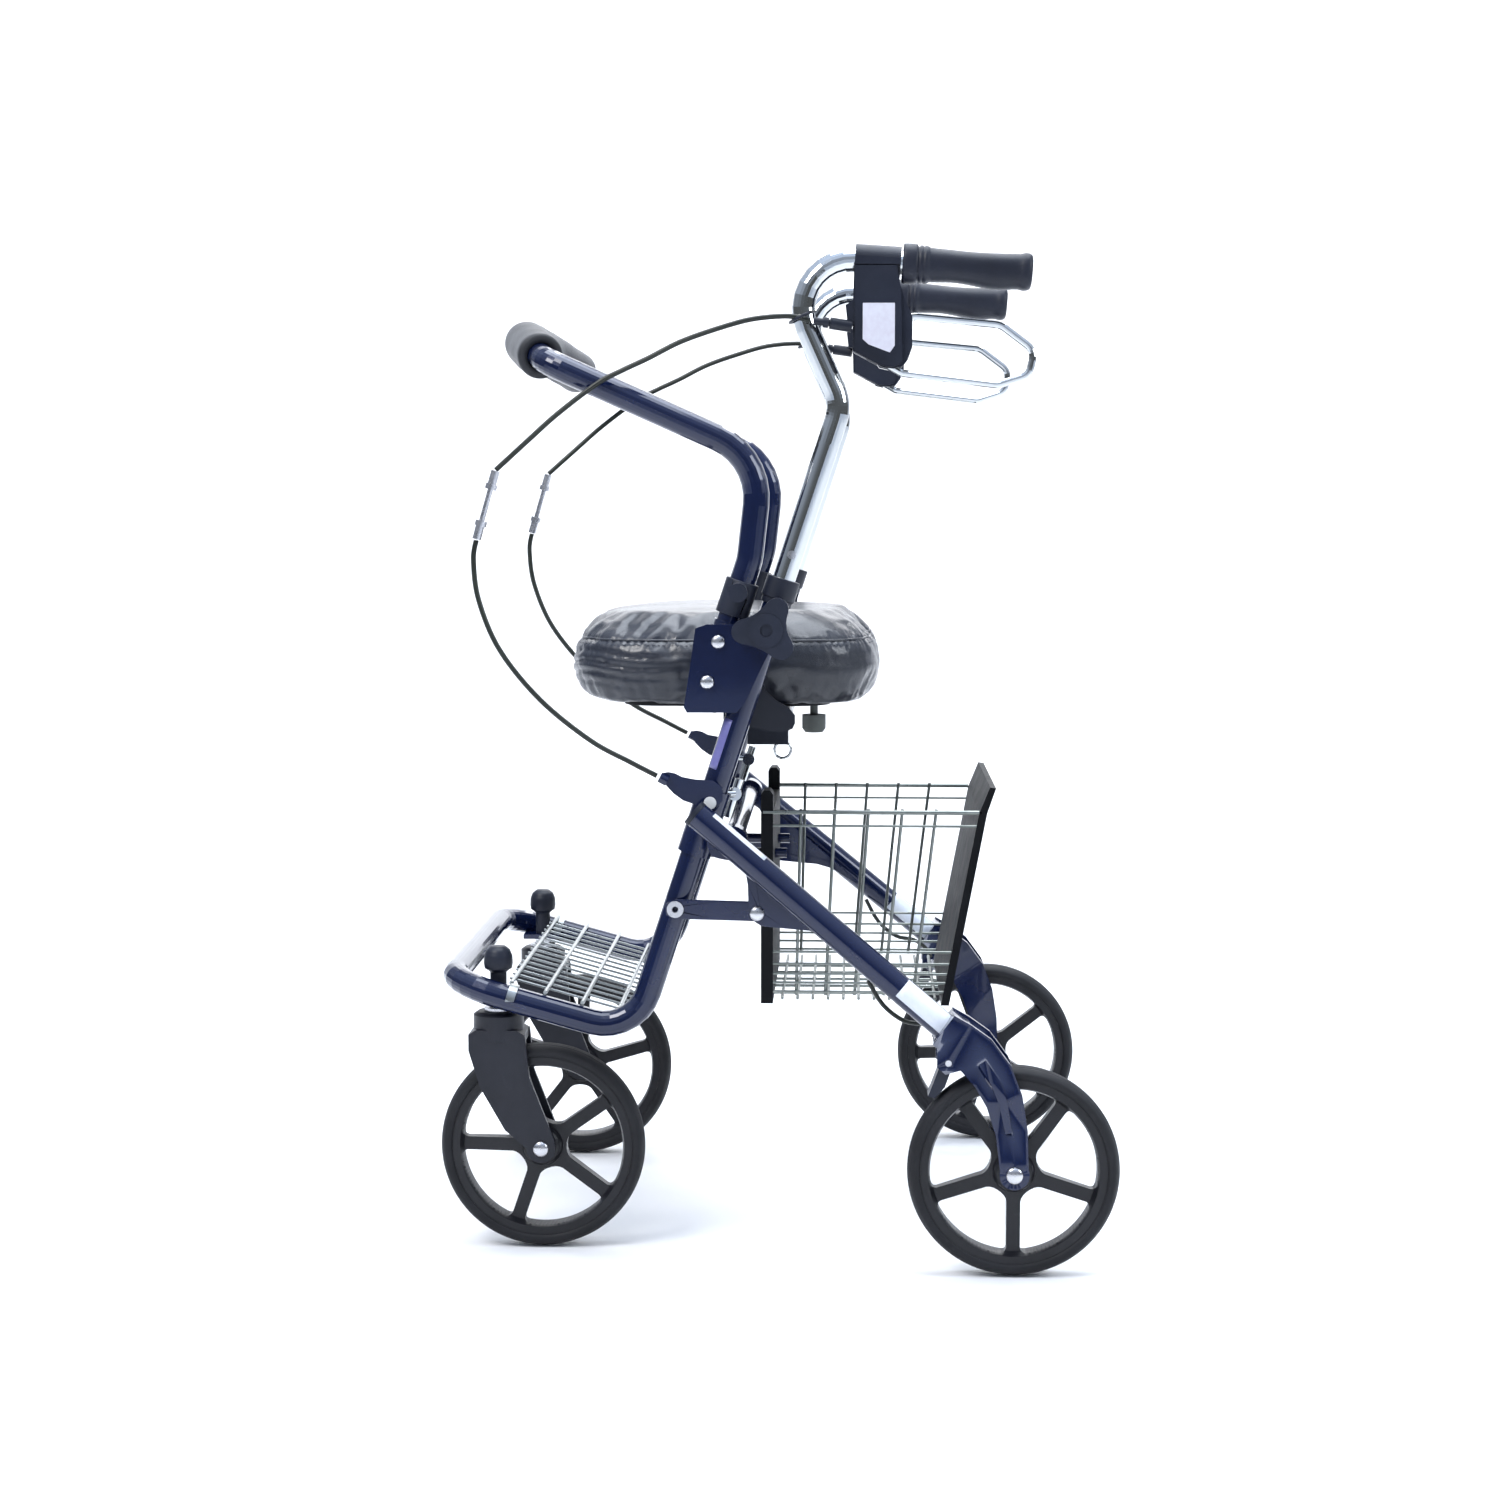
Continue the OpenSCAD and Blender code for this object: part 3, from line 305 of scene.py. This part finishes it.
def sweep(name, P, radius, mat, seg=16, closed=False, section=None):
    """Tube along P. radius is a number, or a function of (share of length, angle)."""
    P = [Vector(p) for p in P]; T, X = frames_along(P, closed); n = len(P); V = []; F = []
    for i in range(n):
        Y = T[i].cross(X[i])
        for k in range(seg):
            a = 2*math.pi*k/seg
            r = radius(i/(n-1), a) if callable(radius) else radius
            V.append(P[i] + (X[i]*math.cos(a) + Y*math.sin(a))*r)
    for i in range(n if closed else n-1):
        j = (i+1) % n
        for k in range(seg):
            F.append((i*seg+k, i*seg+(k+1) % seg, j*seg+(k+1) % seg, j*seg+k))
    if not closed:
        F.append(tuple(range(seg-1, -1, -1))); F.append(tuple((n-1)*seg+k for k in range(seg)))
    return mesh_obj(name, V, F, mat)
def crom(p, m):
    p = [Vector(q) for q in p]; n = len(p); out = []
    for i in range(n-1):
        a, b, c, d = p[max(i-1, 0)], p[i], p[i+1], p[min(i+2, n-1)]
        for k in range(m):
            t = k/m
            out.append(0.5*((2*b) + (c-a)*t + (2*a-5*b+4*c-d)*t*t + (3*b-a-3*c+d)*t*t*t))
    out.append(p[-1]); return out
def mir(P): return [Vector((p[0], -p[1], p[2])) for p in P]
def mm(*p): return Vector((p[0]/1000, p[1]/1000, p[2]/1000))
SIDES = (("left", 1), ("right", -1))

# ------------------------------------------------------------------ seat cushion
def plan(x, y, hx, hy, e):
    return (abs(x)/hx)**e + (abs(y)/hy)**e
def cushion():
    SX = 0.055
    # closed crowned form, a little smaller than the finished pad: rings from the top middle round to the lip pulled over the seat board
    HX, HY, z0 = 0.1550, 0.1690, 0.5295
    rings = [(HX*t, HY*t, 3.0 + 0.6*t, h) for t, h in ((0.2, 0.0838), (0.4, 0.0835), (0.58, 0.0828), (0.73, 0.0812), (0.85, 0.0775), (0.93, 0.0705), (0.975, 0.061), (0.997, 0.048), (1.0, 0.034))]
    rings += [(0.1535, 0.1672, 3.7, 0.020), (0.1495, 0.1640, 3.9, 0.009), (0.1435, 0.1605, 4.2, 0.002), (0.1360, 0.1565, 4.8, 0.0), (0.1180, 0.1545, 5.2, 0.0), (0.1095, 0.1536, 5.6, 0.001),
              (0.1085, 0.1530, 5.8, 0.0078), (0.095, 0.13, 4, 0.0080), (0.06, 0.07, 3, 0.0080)]
    seg = 96; V = []; F = []
    for hx, hy, e, h in rings:
        for k in range(seg):
            a = 2*math.pi*k/seg; c, d = math.cos(a), math.sin(a)
            r = (abs(c/hx)**e + abs(d/hy)**e)**(-1/e)
            x, y = r*c, r*d
            low = max(0.0, x/HX)**3*0.008 if h < 0.03 and hx > 0.120 else 0.0      # the front end turns up
            top = 0.008*max(0.0, x/HX)**3 if h > 0.045 else 0.0                     # and down
            V.append((SX + x, y, z0 + h + low - top))
    n = len(rings)
    top = len(V); V.append((SX, 0, z0 + 0.0840)); bot = len(V); V.append((SX, 0, z0 + 0.008))
    for i in range(n-1):
        for k in range(seg):
            F.append((i*seg+k, (i+1)*seg+k, (i+1)*seg+(k+1) % seg, i*seg+(k+1) % seg))
    for k in range(seg):
        F.append((top, k, (k+1) % seg)); F.append((bot, (n-1)*seg+(k+1) % seg, (n-1)*seg+k))
    o = mesh_obj("seat_pad", V, F, MAT["black_vinyl"])
    bpy.context.view_layer.objects.active = o
    for x in bpy.context.selected_objects: x.select_set(False)
    o.select_set(True)
    m = o.modifiers.new("r", "REMESH"); m.mode = "VOXEL"; m.voxel_size = 0.005
    bpy.ops.object.modifier_apply(modifier="r")
    rest = [v.co.copy() for v in o.data.vertices]
    cl = o.modifiers.new("c", "CLOTH"); st = cl.settings
    st.quality = 5; st.mass = 0.35; st.tension_stiffness = 22; st.compression_stiffness = 9; st.shear_stiffness = 6; st.bending_stiffness = 0.35
    st.use_pressure = True; st.uniform_pressure_force = 4.0; st.effector_weights.gravity = 0.0
    st.shrink_min = -0.035
    cl.collision_settings.use_collision = False
    vg = o.vertex_groups.new(name="pin")
    vg.add([i for i, c in enumerate(rest) if c.z < 0.5385 and plan(c.x - SX, c.y, 0.1400, 0.1605, 4.2) < 1], 1.0, "REPLACE")
    st.vertex_group_mass = "pin"
    sc = bpy.context.scene; sc.frame_start, sc.frame_end = 1, 20
    for f in range(1, 21): sc.frame_set(f)
    bpy.ops.object.modifier_apply(modifier="c")
    sc.frame_set(1)
    cap = 0.009
    for v, r in zip(o.data.vertices, rest):
        d = v.co - r
        if d.length > cap: v.co = r + d*(cap/d.length)
    s = o.modifiers.new("s", "SUBSURF"); s.levels = 1; s.render_levels = 1
    bpy.ops.object.modifier_apply(modifier="s")
    me = o.data
    # pleats gathered round the front end, puckers under the seam, soft dimples on top
    me.update()
    nor = [v.normal.copy() for v in me.vertices]
    for v, nn in zip(me.vertices, nor):
        x, y, z = v.co.x - SX, v.co.y, v.co.z
        side = 1 - min(1, abs(nn.z)**1.3)
        front = max(0.0, min(1.0, (x + 0.01)/0.11))
        front = front*front*(3 - 2*front)
        ang = math.atan2(y, x)
        zz = z + 0.0022*math.sin(ang*5.3 + 0.7) + 0.0016*math.sin(ang*11 + 2)
        w = max(0.0, min(1.0, (0.592 - z)/0.012))*max(0.0, min(1.0, (z - 0.541)/0.012))
        ple = (abs(math.sin((zz - 0.536)*math.pi/0.0105)))**0.6
        d = -0.0028*(1 - ple)*side*front*w
        back = max(0.0, min(1.0, (-x - 0.02)/0.1))
        d += -0.0009*(1 - abs(math.sin((zz - 0.53)*math.pi/0.021)))*side*w*(0.35 + 0.5*back)
        s_ = abs(z - 0.5915)
        if s_ < 0.02 and abs(nn.z) < 0.92:
            d += -0.0012*math.exp(-(s_/0.0022)**2)
            d += 0.00045*math.sin(ang*150)*math.exp(-(s_/0.007)**2)
        t = max(0.0, nn.z)
        d += 0.0011*t*math.sin(31*x + 3*math.sin(23*y))*math.sin(27*y + 1.3)
        d += 0.0004*t*math.exp(-((plan(x, y, 0.125, 0.145, 3) - 0.9)/0.3)**2)*math.sin(ang*26 + 3*math.sin(ang*4))
        v.co = v.co + nn*d
    for p in me.polygons: p.use_smooth = True
    me.update()
    # clear of the seat board that it is pulled round
    for v in me.vertices:
        if v.co.z < 0.5366 and plan(v.co.x - SX + 0.005, v.co.y, 0.1032, 0.1512, 6.5) < 1: v.co.z = 0.5366
        if v.co.z < 0.5292: v.co.z = 0.5292
    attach(o, "seat"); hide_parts("seat_cushion")
    # seam cord and stitches just under it
    from mathutils.bvhtree import BVHTree
    dg = bpy.context.evaluated_depsgraph_get()
    bv = BVHTree.FromObject(o, dg)
    ring = []; st2 = []
    for k in range(240):
        a = 2*math.pi*k/240; d = Vector((math.cos(a), math.sin(a), 0))
        for z, out in ((0.5915, ring), (0.5868, st2)):
            src = Vector((SX, 0, z)) + d*0.4
            hit = bv.ray_cast(src, -d)
            if hit[0] is not None: out.append(hit[0] + d*(-0.0001))
    c = sweep("seat_seam_cord", ring, 0.00135, MAT["black_vinyl"], 10, closed=True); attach(c, "seat")
    V = []; F = []
    for i in range(0, len(st2)):
        p, q = st2[i], st2[(i+1) % len(st2)]
        a, b = p.lerp(q, 0.18), p.lerp(q, 0.78)
        t = (b - a).normalized(); n_ = Vector((p.x - SX, p.y, 0)).normalized(); up = Vector((0, 0, 1))
        base = len(V)
        for w_, sc_ in ((0, 0.35), (0.25, 1), (0.75, 1), (1, 0.35)):
            c_ = a.lerp(b, w_)
            for k in range(6):
                an = 2*math.pi*k/6
                V.append(c_ + (n_*math.cos(an) + up*math.sin(an))*0.00042*sc_)
        for j in range(3):
            for k in range(6): F.append((base+j*6+k, base+j*6+(k+1) % 6, base+(j+1)*6+(k+1) % 6, base+(j+1)*6+k))
        F.append(tuple(base + 5 - k for k in range(6))); F.append(tuple(base + 18 + k for k in range(6)))
    s3 = mesh_obj("seat_stitches", V, F, MAT["thread"]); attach(s3, "seat")
cushion()

# ------------------------------------------------------------------ foam roll on the backrest
def arcpath(p, R, n):
    p = [Vector(q) for q in p]; out = [p[0]]
    for i in range(1, len(p)-1):
        d1 = (p[i]-p[i-1]).normalized(); d2 = (p[i+1]-p[i]).normalized()
        th = d1.angle(d2)
        if th < 1e-4 or R[i] == 0: out.append(p[i]); continue
        t = R[i]/1000*math.tan(th/2); ax = d1.cross(d2).normalized(); nn = ax.cross(d1); c = p[i] - d1*t + nn*(R[i]/1000)
        for k in range(n+1):
            a = th*k/n
            out.append(c - nn*(R[i]/1000)*math.cos(a) + d1*(R[i]/1000)*math.sin(a))
    out.append(p[-1]); return out
def resample(P, step):
    out = [P[0].copy()]; left = step
    for a, b in zip(P, P[1:]):
        L = (b-a).length; s = 0
        while L - s >= left:
            s += left; out.append(a.lerp(b, s/L)); left = step
        left -= L - s
    if (out[-1]-P[-1]).length > step*0.3: out.append(P[-1].copy())
    else: out[-1] = P[-1].copy()
    return out
def foam_roll():
    a, b = mm(217, 214, 859), mm(253, 70, 884)
    p = a + (b-a).normalized()*0.036
    P = resample(arcpath([p, b, Vector((b.x, -b.y, b.z)), Vector((p.x, -p.y, p.z))], [0, 120, 120, 0], 14), 0.0035)
    T, X = frames_along(P); n = len(P); seg = 64; V = []; F = []
    L = (n-1)*0.0035
    # end faces rolled over into the bar, so the foam has thickness
    stations = [(0, 0.0, 0.0134), (0, 0.0, 0.0165), (0, 0.0006, 0.0196), (0, 0.002, 0.0212), (0, 0.0045, 0.0219)]
    rings = []
    for i, off, r in stations: rings.append((P[0] + T[0]*off, 0, r))
    for i in range(2, n-2): rings.append((P[i], i, None))
    for i, off, r in stations[::-1]: rings.append((P[-1] - T[-1]*off, n-1, r))
    rng = random.Random(3); ph = [rng.uniform(0, 6.28) for _ in range(8)]
    for c, i, r in rings:
        Y = T[i].cross(X[i])
        for k in range(seg):
            an = 2*math.pi*k/seg; s = i*0.0035
            rr = r if r is not None else 0.022 + 0.00022*math.sin(s*55 + ph[0])*math.sin(an*2 + ph[1]) + 0.00016*math.sin(s*140 + ph[2] + 2*math.sin(an)) - 0.00035*math.exp(-((s - L/2)/0.0018)**2)
            V.append(c + (X[i]*math.cos(an) + Y*math.sin(an))*rr)
    m = len(rings)
    for i in range(m-1):
        for k in range(seg): F.append((i*seg+k, i*seg+(k+1) % seg, (i+1)*seg+(k+1) % seg, (i+1)*seg+k))
    # closed through the bore
    inner = len(V)
    for c, i, r in (rings[0], rings[-1]):
        Y = T[i].cross(X[i])
        for k in range(seg):
            an = 2*math.pi*k/seg; V.append(c + T[i]*(0.004 if i == 0 else -0.004) + (X[i]*math.cos(an) + Y*math.sin(an))*0.0131)
    for k in range(seg):
        k2 = (k+1) % seg
        F.append((inner+k, inner+k2, k2, k)); F.append(((m-1)*seg+k, (m-1)*seg+k2, inner+seg+k2, inner+seg+k))
    o = mesh_obj("backrest_roll", V, F, MAT["foam"])
    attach(o, "backrest"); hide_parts("backrest_foam")
foam_roll()

# ------------------------------------------------------------------ grips
def grips():
    for n, s in SIDES:
        E = mm(-238, 214*s, 941.06); d = Vector((math.sin(math.radians(86)), 0, math.cos(math.radians(86))))
        up = Vector((-d.z, 0, d.x)); sd = Vector((0, 1, 0)); seg = 72; V = []; F = []
        st = [(-3.2, 0.0), (-3.2, 0.45), (-3.1, 0.72), (-2.4, 0.9), (-1.0, 0.985), (1.2, 1.03), (4, 1.045), (7, 1.0), (9, 0.965)]
        rows = [(t, f) for t, f in st[1:]]
        t = 12.0
        while t < 94.0: rows.append((t, None)); t += 2.6
        rows += [(94.6, 1.02), (96, 1.06), (98.0, 1.07), (98.9, 1.02), (99.8, 1.02), (100.7, 1.07), (102.6, 1.065), (103.4, 1.0), (104.6, 1.0), (105.4, 1.09), (106.4, 1.12), (108, 1.13), (112, 1.13), (116.4, 1.13), (117.8, 1.11), (118.6, 1.03)]
        for t, f in rows:
            u = max(0.0, min(1.0, t/94))
            g = f if f is not None else 0.965
            hw = 0.0166 + 0.0009*math.sin(u*math.pi)
            top = 0.0160 + 0.0007*math.cos(u*6.2)
            low = 0.0168 + 0.0030*math.exp(-((u-0.32)/0.2)**2) - 0.0012*math.exp(-((u-0.75)/0.16)**2)
            for k in range(seg):
                a = 2*math.pi*k/seg; c, q = math.cos(a), math.sin(a)
                e = 2.5; vert = top if q > 0 else low
                r = (abs(c)**e + abs(q)**e)**(-1/e)
                rib = 0.0
                if f is None and q < 0.45: rib = -0.00045*(0.5 + 0.5*math.cos(t*2*math.pi/5.2))*min(1, (0.45-q)*2.2)
                V.append(E + d*(t/1000) + sd*(c*r*(hw*g + rib)) + up*(q*r*(vert*g + rib)))
        m = len(rows)
        c0 = len(V); V.append(E + d*(-3.2/1000))
        for i in range(m-1):
            for k in range(seg): F.append((i*seg+k, i*seg+(k+1) % seg, (i+1)*seg+(k+1) % seg, (i+1)*seg+k))
        for k in range(seg): F.append((c0, (k+1) % seg, k))
        ci = len(V)
        for k in range(seg):
            a = 2*math.pi*k/seg; V.append(E + d*0.1186 + (sd*math.cos(a) + up*math.sin(a))*0.0113)
        for k in range(seg): F.append(((m-1)*seg+k, (m-1)*seg+(k+1) % seg, ci+(k+1) % seg, ci+k))
        o = mesh_obj("hand_grip_"+n, V, F, MAT["grip_rubber"])
        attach(o, "handlebar_"+n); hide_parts("grip_"+n)
grips()

# ------------------------------------------------------------------ tyres, with shallow tread rings
def tyres():
    for end, x, y in (("front", 0.227, 0.192), ("rear", -0.227, 0.280)):
        for n, s in SIDES:
            prof = [(88.1, -13.5), (90.5, -14.4), (93.0, -14.95), (95.2, -14.6)]
            W = 15.0
            for k in range(-30, 31):
                a = math.radians(k*2.2)
                r = 93.0 + 7.0*math.cos(a); w = W*math.sin(a)
                g = 0.0
                for gy in (-6.4, -2.2, 2.2, 6.4): g += 0.55*math.exp(-((w-gy)/0.42)**4)
                prof.append((r - g, w))
            prof += [(95.2, 14.6), (93.0, 14.95), (90.5, 14.4), (88.1, 13.5)]
            seg = 144; V = []; F = []; m = len(prof)
            for i in range(seg):
                a = 2*math.pi*i/seg
                for r, w in prof:
                    V.append(Vector((x + r/1000*math.cos(a), s*y + w/1000, 0.1 + r/1000*math.sin(a))))
            for i in range(seg):
                j = (i+1) % seg
                for k in range(m): F.append((i*m+k, j*m+k, j*m+(k+1) % m, i*m+(k+1) % m))
            o = mesh_obj("%s_tread_%s" % (end, n), V, F, MAT["tyre"])
            body = "%s_wheel_%s" % (end, n)
            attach(o, body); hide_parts("%s_tyre_%s" % (end, n))
tyres()

# ------------------------------------------------------------------ brake cables
UPC = [(-33.5, 229.6, 895), (-14, 230.6, 899.5), (20, 231, 897), (52, 232, 888.5), (88, 232, 876), (119, 232, 860.5), (144, 232, 849), (167, 232, 837),
       (205, 230, 808.6), (232, 228, 785), (250, 226, 769), (264, 225, 756.5)]
DNC = [(283.3, 225, 690.2), (286, 226, 671), (281, 228, 633), (261, 231, 586), (222.5, 234, 539), (175, 237, 501), (137, 238, 480.5), (111.2, 238, 467.2)]
def cables():
    for n, s in SIDES:
        up = crom([mm(a, b*s, c) for a, b, c in UPC], 7); dn = crom([mm(a, b*s, c) for a, b, c in DNC], 8)
        o = sweep("cable_upper_"+n, up, 0.0025, MAT["cable_sheath"], 14)
        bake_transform(o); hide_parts("brake_cable_"+n)
        p = sweep("cable_lower_"+n, dn, 0.0025, MAT["cable_sheath"], 14)
        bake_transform(p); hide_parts("brake_cable_"+n)
cables()

# ------------------------------------------------------------------ labels, left blank, and a painted highlight strip on each leg
def label(n, s):
    pts = [(-82.5, 911.5), (-112.5, 911.5), (-112.5, 872), (-108, 865.5), (-88, 873), (-82.5, 878)]
    c = Vector((sum(p[0] for p in pts)/6, 0, sum(p[1] for p in pts)/6))
    me = bmesh.new(); y = 0.214 + 0.01856
    vs = [me.verts.new((p[0]/1000, s*y, p[1]/1000)) for p in pts]
    f = me.faces.new(vs)
    me.normal_update()
    r = bmesh.ops.extrude_face_region(me, geom=[f])
    for v in [g for g in r["geom"] if isinstance(g, bmesh.types.BMVert)]: v.co.y += s*0.0003
    bmesh.ops.recalc_face_normals(me, faces=me.faces)
    m = bpy.data.meshes.new("label_"+n); me.to_mesh(m); m.materials.append(LABEL)
    o = bpy.data.objects.new("brake_label_"+n, m); bpy.context.scene.collection.objects.link(o)
    b = o.modifiers.new("b", "BEVEL"); b.width = 0.0012; b.segments = 3; b.affect = "EDGES"; b.limit_method = "ANGLE"
    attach(o, "handlebar_"+n)
for n, s in SIDES: label(n, s)
def wrap(name, p, d, r, t0, t1, a0, a1, ref, mat, body, th=0.0003):
    """Thin film wrapped on a round tube, from t0 to t1 along it and from a0 to a1 degrees round it, ref being 0 degrees."""
    d = d.normalized(); X = (ref - d*ref.dot(d)).normalized(); Y = d.cross(X); V = []; F = []
    ns, na = 10, 18
    for lay in (0, 1):
        for i in range(ns+1):
            for k in range(na+1):
                a = math.radians(a0 + (a1-a0)*k/na)
                V.append(p + d*(t0 + (t1-t0)*i/ns) + (X*math.cos(a) + Y*math.sin(a))*(r + th*(0.15 + lay)))
    W = na+1; N0 = (ns+1)*W
    for i in range(ns):
        for k in range(na):
            q = (i*W+k, i*W+k+1, (i+1)*W+k+1, (i+1)*W+k)
            F.append(tuple(N0+v for v in q)); F.append(tuple(reversed(q)))
    rim = [i*W for i in range(ns+1)] + [ns*W+k for k in range(1, na+1)] + [i*W+na for i in range(ns-1, -1, -1)] + [k for k in range(na-1, 0, -1)]
    for a, b in zip(rim, rim[1:] + rim[:1]): F.append((a, b, N0+b, N0+a))
    o = mesh_obj(name, V, F, mat, smooth=True)
    bm = bmesh.new(); bm.from_mesh(o.data); bmesh.ops.recalc_face_normals(bm, faces=bm.faces); bm.to_mesh(o.data); bm.free()
    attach(o, body); return o
L0, L1 = mm(72.1, 249.8, 430.9), mm(-178, 279, 221.3)
for n, s in SIDES:
    a, b = Vector((L0.x, s*L0.y, L0.z)), Vector((L1.x, s*L1.y, L1.z)); d = b - a
    o = Vector((0, s, 0)); dn = d.normalized()
    X = (o - dn*o.dot(dn)).normalized(); Y = dn.cross(X)
    sg = 1 if Y.z > 0 else -1
    wrap("leg_label_"+n, a, d, 0.013, 0.252, 0.3155, -28*sg, 74*sg, o, TAPE_AND_HIGHLIGHT, "rear_frame")
    if s < 0: wrap("leg_label_inner_"+n, a, d, 0.013, 0.247, 0.3115, (180-74)*sg, (180+28)*sg, o, TAPE_AND_HIGHLIGHT, "rear_frame")
    # painted highlight: a pale film strip on the upper outer side of each leg near its top stands in for the sky
    # reflection along the tube
    wrap("leg_painted_highlight_"+n, a, d, 0.013, 0.012, 0.076, 48*sg, 78*sg, o, TAPE_AND_HIGHLIGHT, "rear_frame")
    # strip low on each upright
    p = mm(upx(0.518)*1000, 214*s, 518); q = mm(upx(0.470)*1000, 214*s, 470)
    d2 = (q - p); X2 = Vector((0, s, 0)); Y2 = d2.normalized().cross(X2); sg2 = 1 if Y2.x > 0 else -1
    wrap("upright_strip_"+n, p, d2, 0.0127, 0.0, 0.050, 20*sg2, 66*sg2, X2, STRIP, "frame", 0.00013)
    # tie that holds the cable to the handle tube
    ta, tb = mm(-62.3, 214*s, 817.7), mm(0.4, 214*s, 957.7); td = (tb - ta).normalized()
    tp = ta + (tb - ta)*0.585; to = Vector((0, s, 0)); tx = td.cross(to)
    loop = []
    for k in range(72):
        a = 2*math.pi*k/72; e = max(0.0, math.cos(a))
        loop.append(tp + (to*math.cos(a) + tx*math.sin(a))*(0.0128 + 0.0082*e**4))
    c = sweep("cable_tie_"+n, loop, 0.00145, MAT["black_plastic"], 10, closed=True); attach(c, "handlebar_"+n)

# ------------------------------------------------------------------ stage
def stage():
    bpy.ops.mesh.primitive_plane_add(size=16, location=(0, 0, -0.0005))
    fl = bpy.context.object; fl.name = "floor"
    m = Mat("floor")
    m.to("Base Color", m.mix(m.noise(1.5, 3), (0.80, 0.80, 0.80), (0.84, 0.84, 0.84)))
    m.to("Roughness", m.math("ADD", m.math("MULTIPLY", m.noise(8, 3), 0.1), 0.6))
    fl.data.materials.append(m.m)
    bpy.ops.mesh.primitive_plane_add(size=16, location=(0, -6, 4), rotation=(math.radians(90), 0, 0))
    bk = bpy.context.object; bk.name = "backdrop"
    m2 = Mat("backdrop")
    m2.to("Base Color", m2.mix(m2.noise(1.5, 3), (0.86, 0.86, 0.86), (0.9, 0.9, 0.9)))
    m2.to("Roughness", m2.math("ADD", m2.math("MULTIPLY", m2.noise(8, 3), 0.1), 0.6))
    bk.data.materials.append(m2.m)
    w = bpy.data.worlds.new("w"); bpy.context.scene.world = w; w.use_nodes = True
    t = w.node_tree; bg = t.nodes["Background"]
    tc = t.nodes.new("ShaderNodeTexCoord"); sp = t.nodes.new("ShaderNodeSeparateXYZ")
    t.links.new(tc.outputs["Generated"], sp.inputs[0])
    rp = t.nodes.new("ShaderNodeValToRGB"); r = rp.color_ramp
    r.elements[0].position = 0.0; r.elements[0].color = (0.30, 0.31, 0.30, 1)
    r.elements[1].position = 1.0; r.elements[1].color = (1.35, 1.6, 2.1, 1)
    for p, c in ((0.48, (0.16, 0.17, 0.18, 1)), (0.56, (0.22, 0.24, 0.27, 1)), (0.72, (0.75, 0.85, 1.05, 1))): r.elements.new(p).color = c
    ma = t.nodes.new("ShaderNodeMath"); ma.operation = "MULTIPLY_ADD"; ma.inputs[1].default_value = 0.5; ma.inputs[2].default_value = 0.5
    t.links.new(sp.outputs[2], ma.inputs[0]); t.links.new(ma.outputs[0], rp.inputs[0])
    t.links.new(rp.outputs[0], bg.inputs[0]); bg.inputs[1].default_value = 0.68
    def area(name, loc, target, size, power, color=(1, 1, 1), sy=None):
        l = bpy.data.lights.new(name, "AREA"); l.energy = power; l.color = color; l.size = size
        if sy: l.shape = "RECTANGLE"; l.size_y = sy
        o = bpy.data.objects.new(name, l); bpy.context.scene.collection.objects.link(o)
        o.location = loc
        o.rotation_euler = (Vector(target) - Vector(loc)).to_track_quat("-Z", "Y").to_euler()
    area("key", (1.5, 1.6, 2.7), (0, 0, 0.5), 1.2, 62, (1.0, 0.98, 0.95))
    area("top", (-0.2, -0.3, 3.0), (0, 0, 0.4), 2.2, 84, (0.90, 0.95, 1.0))
    area("rim", (-2.4, 0.8, 1.7), (0, 0, 0.5), 1.0, 26, (0.9, 0.95, 1.0))
    area("wall", (0, -4.2, 4.6), (0, -6, 1.5), 5.0, 330, (1, 1, 1), 1.5)
stage()
bpy.context.scene.view_settings.view_transform = "Standard"
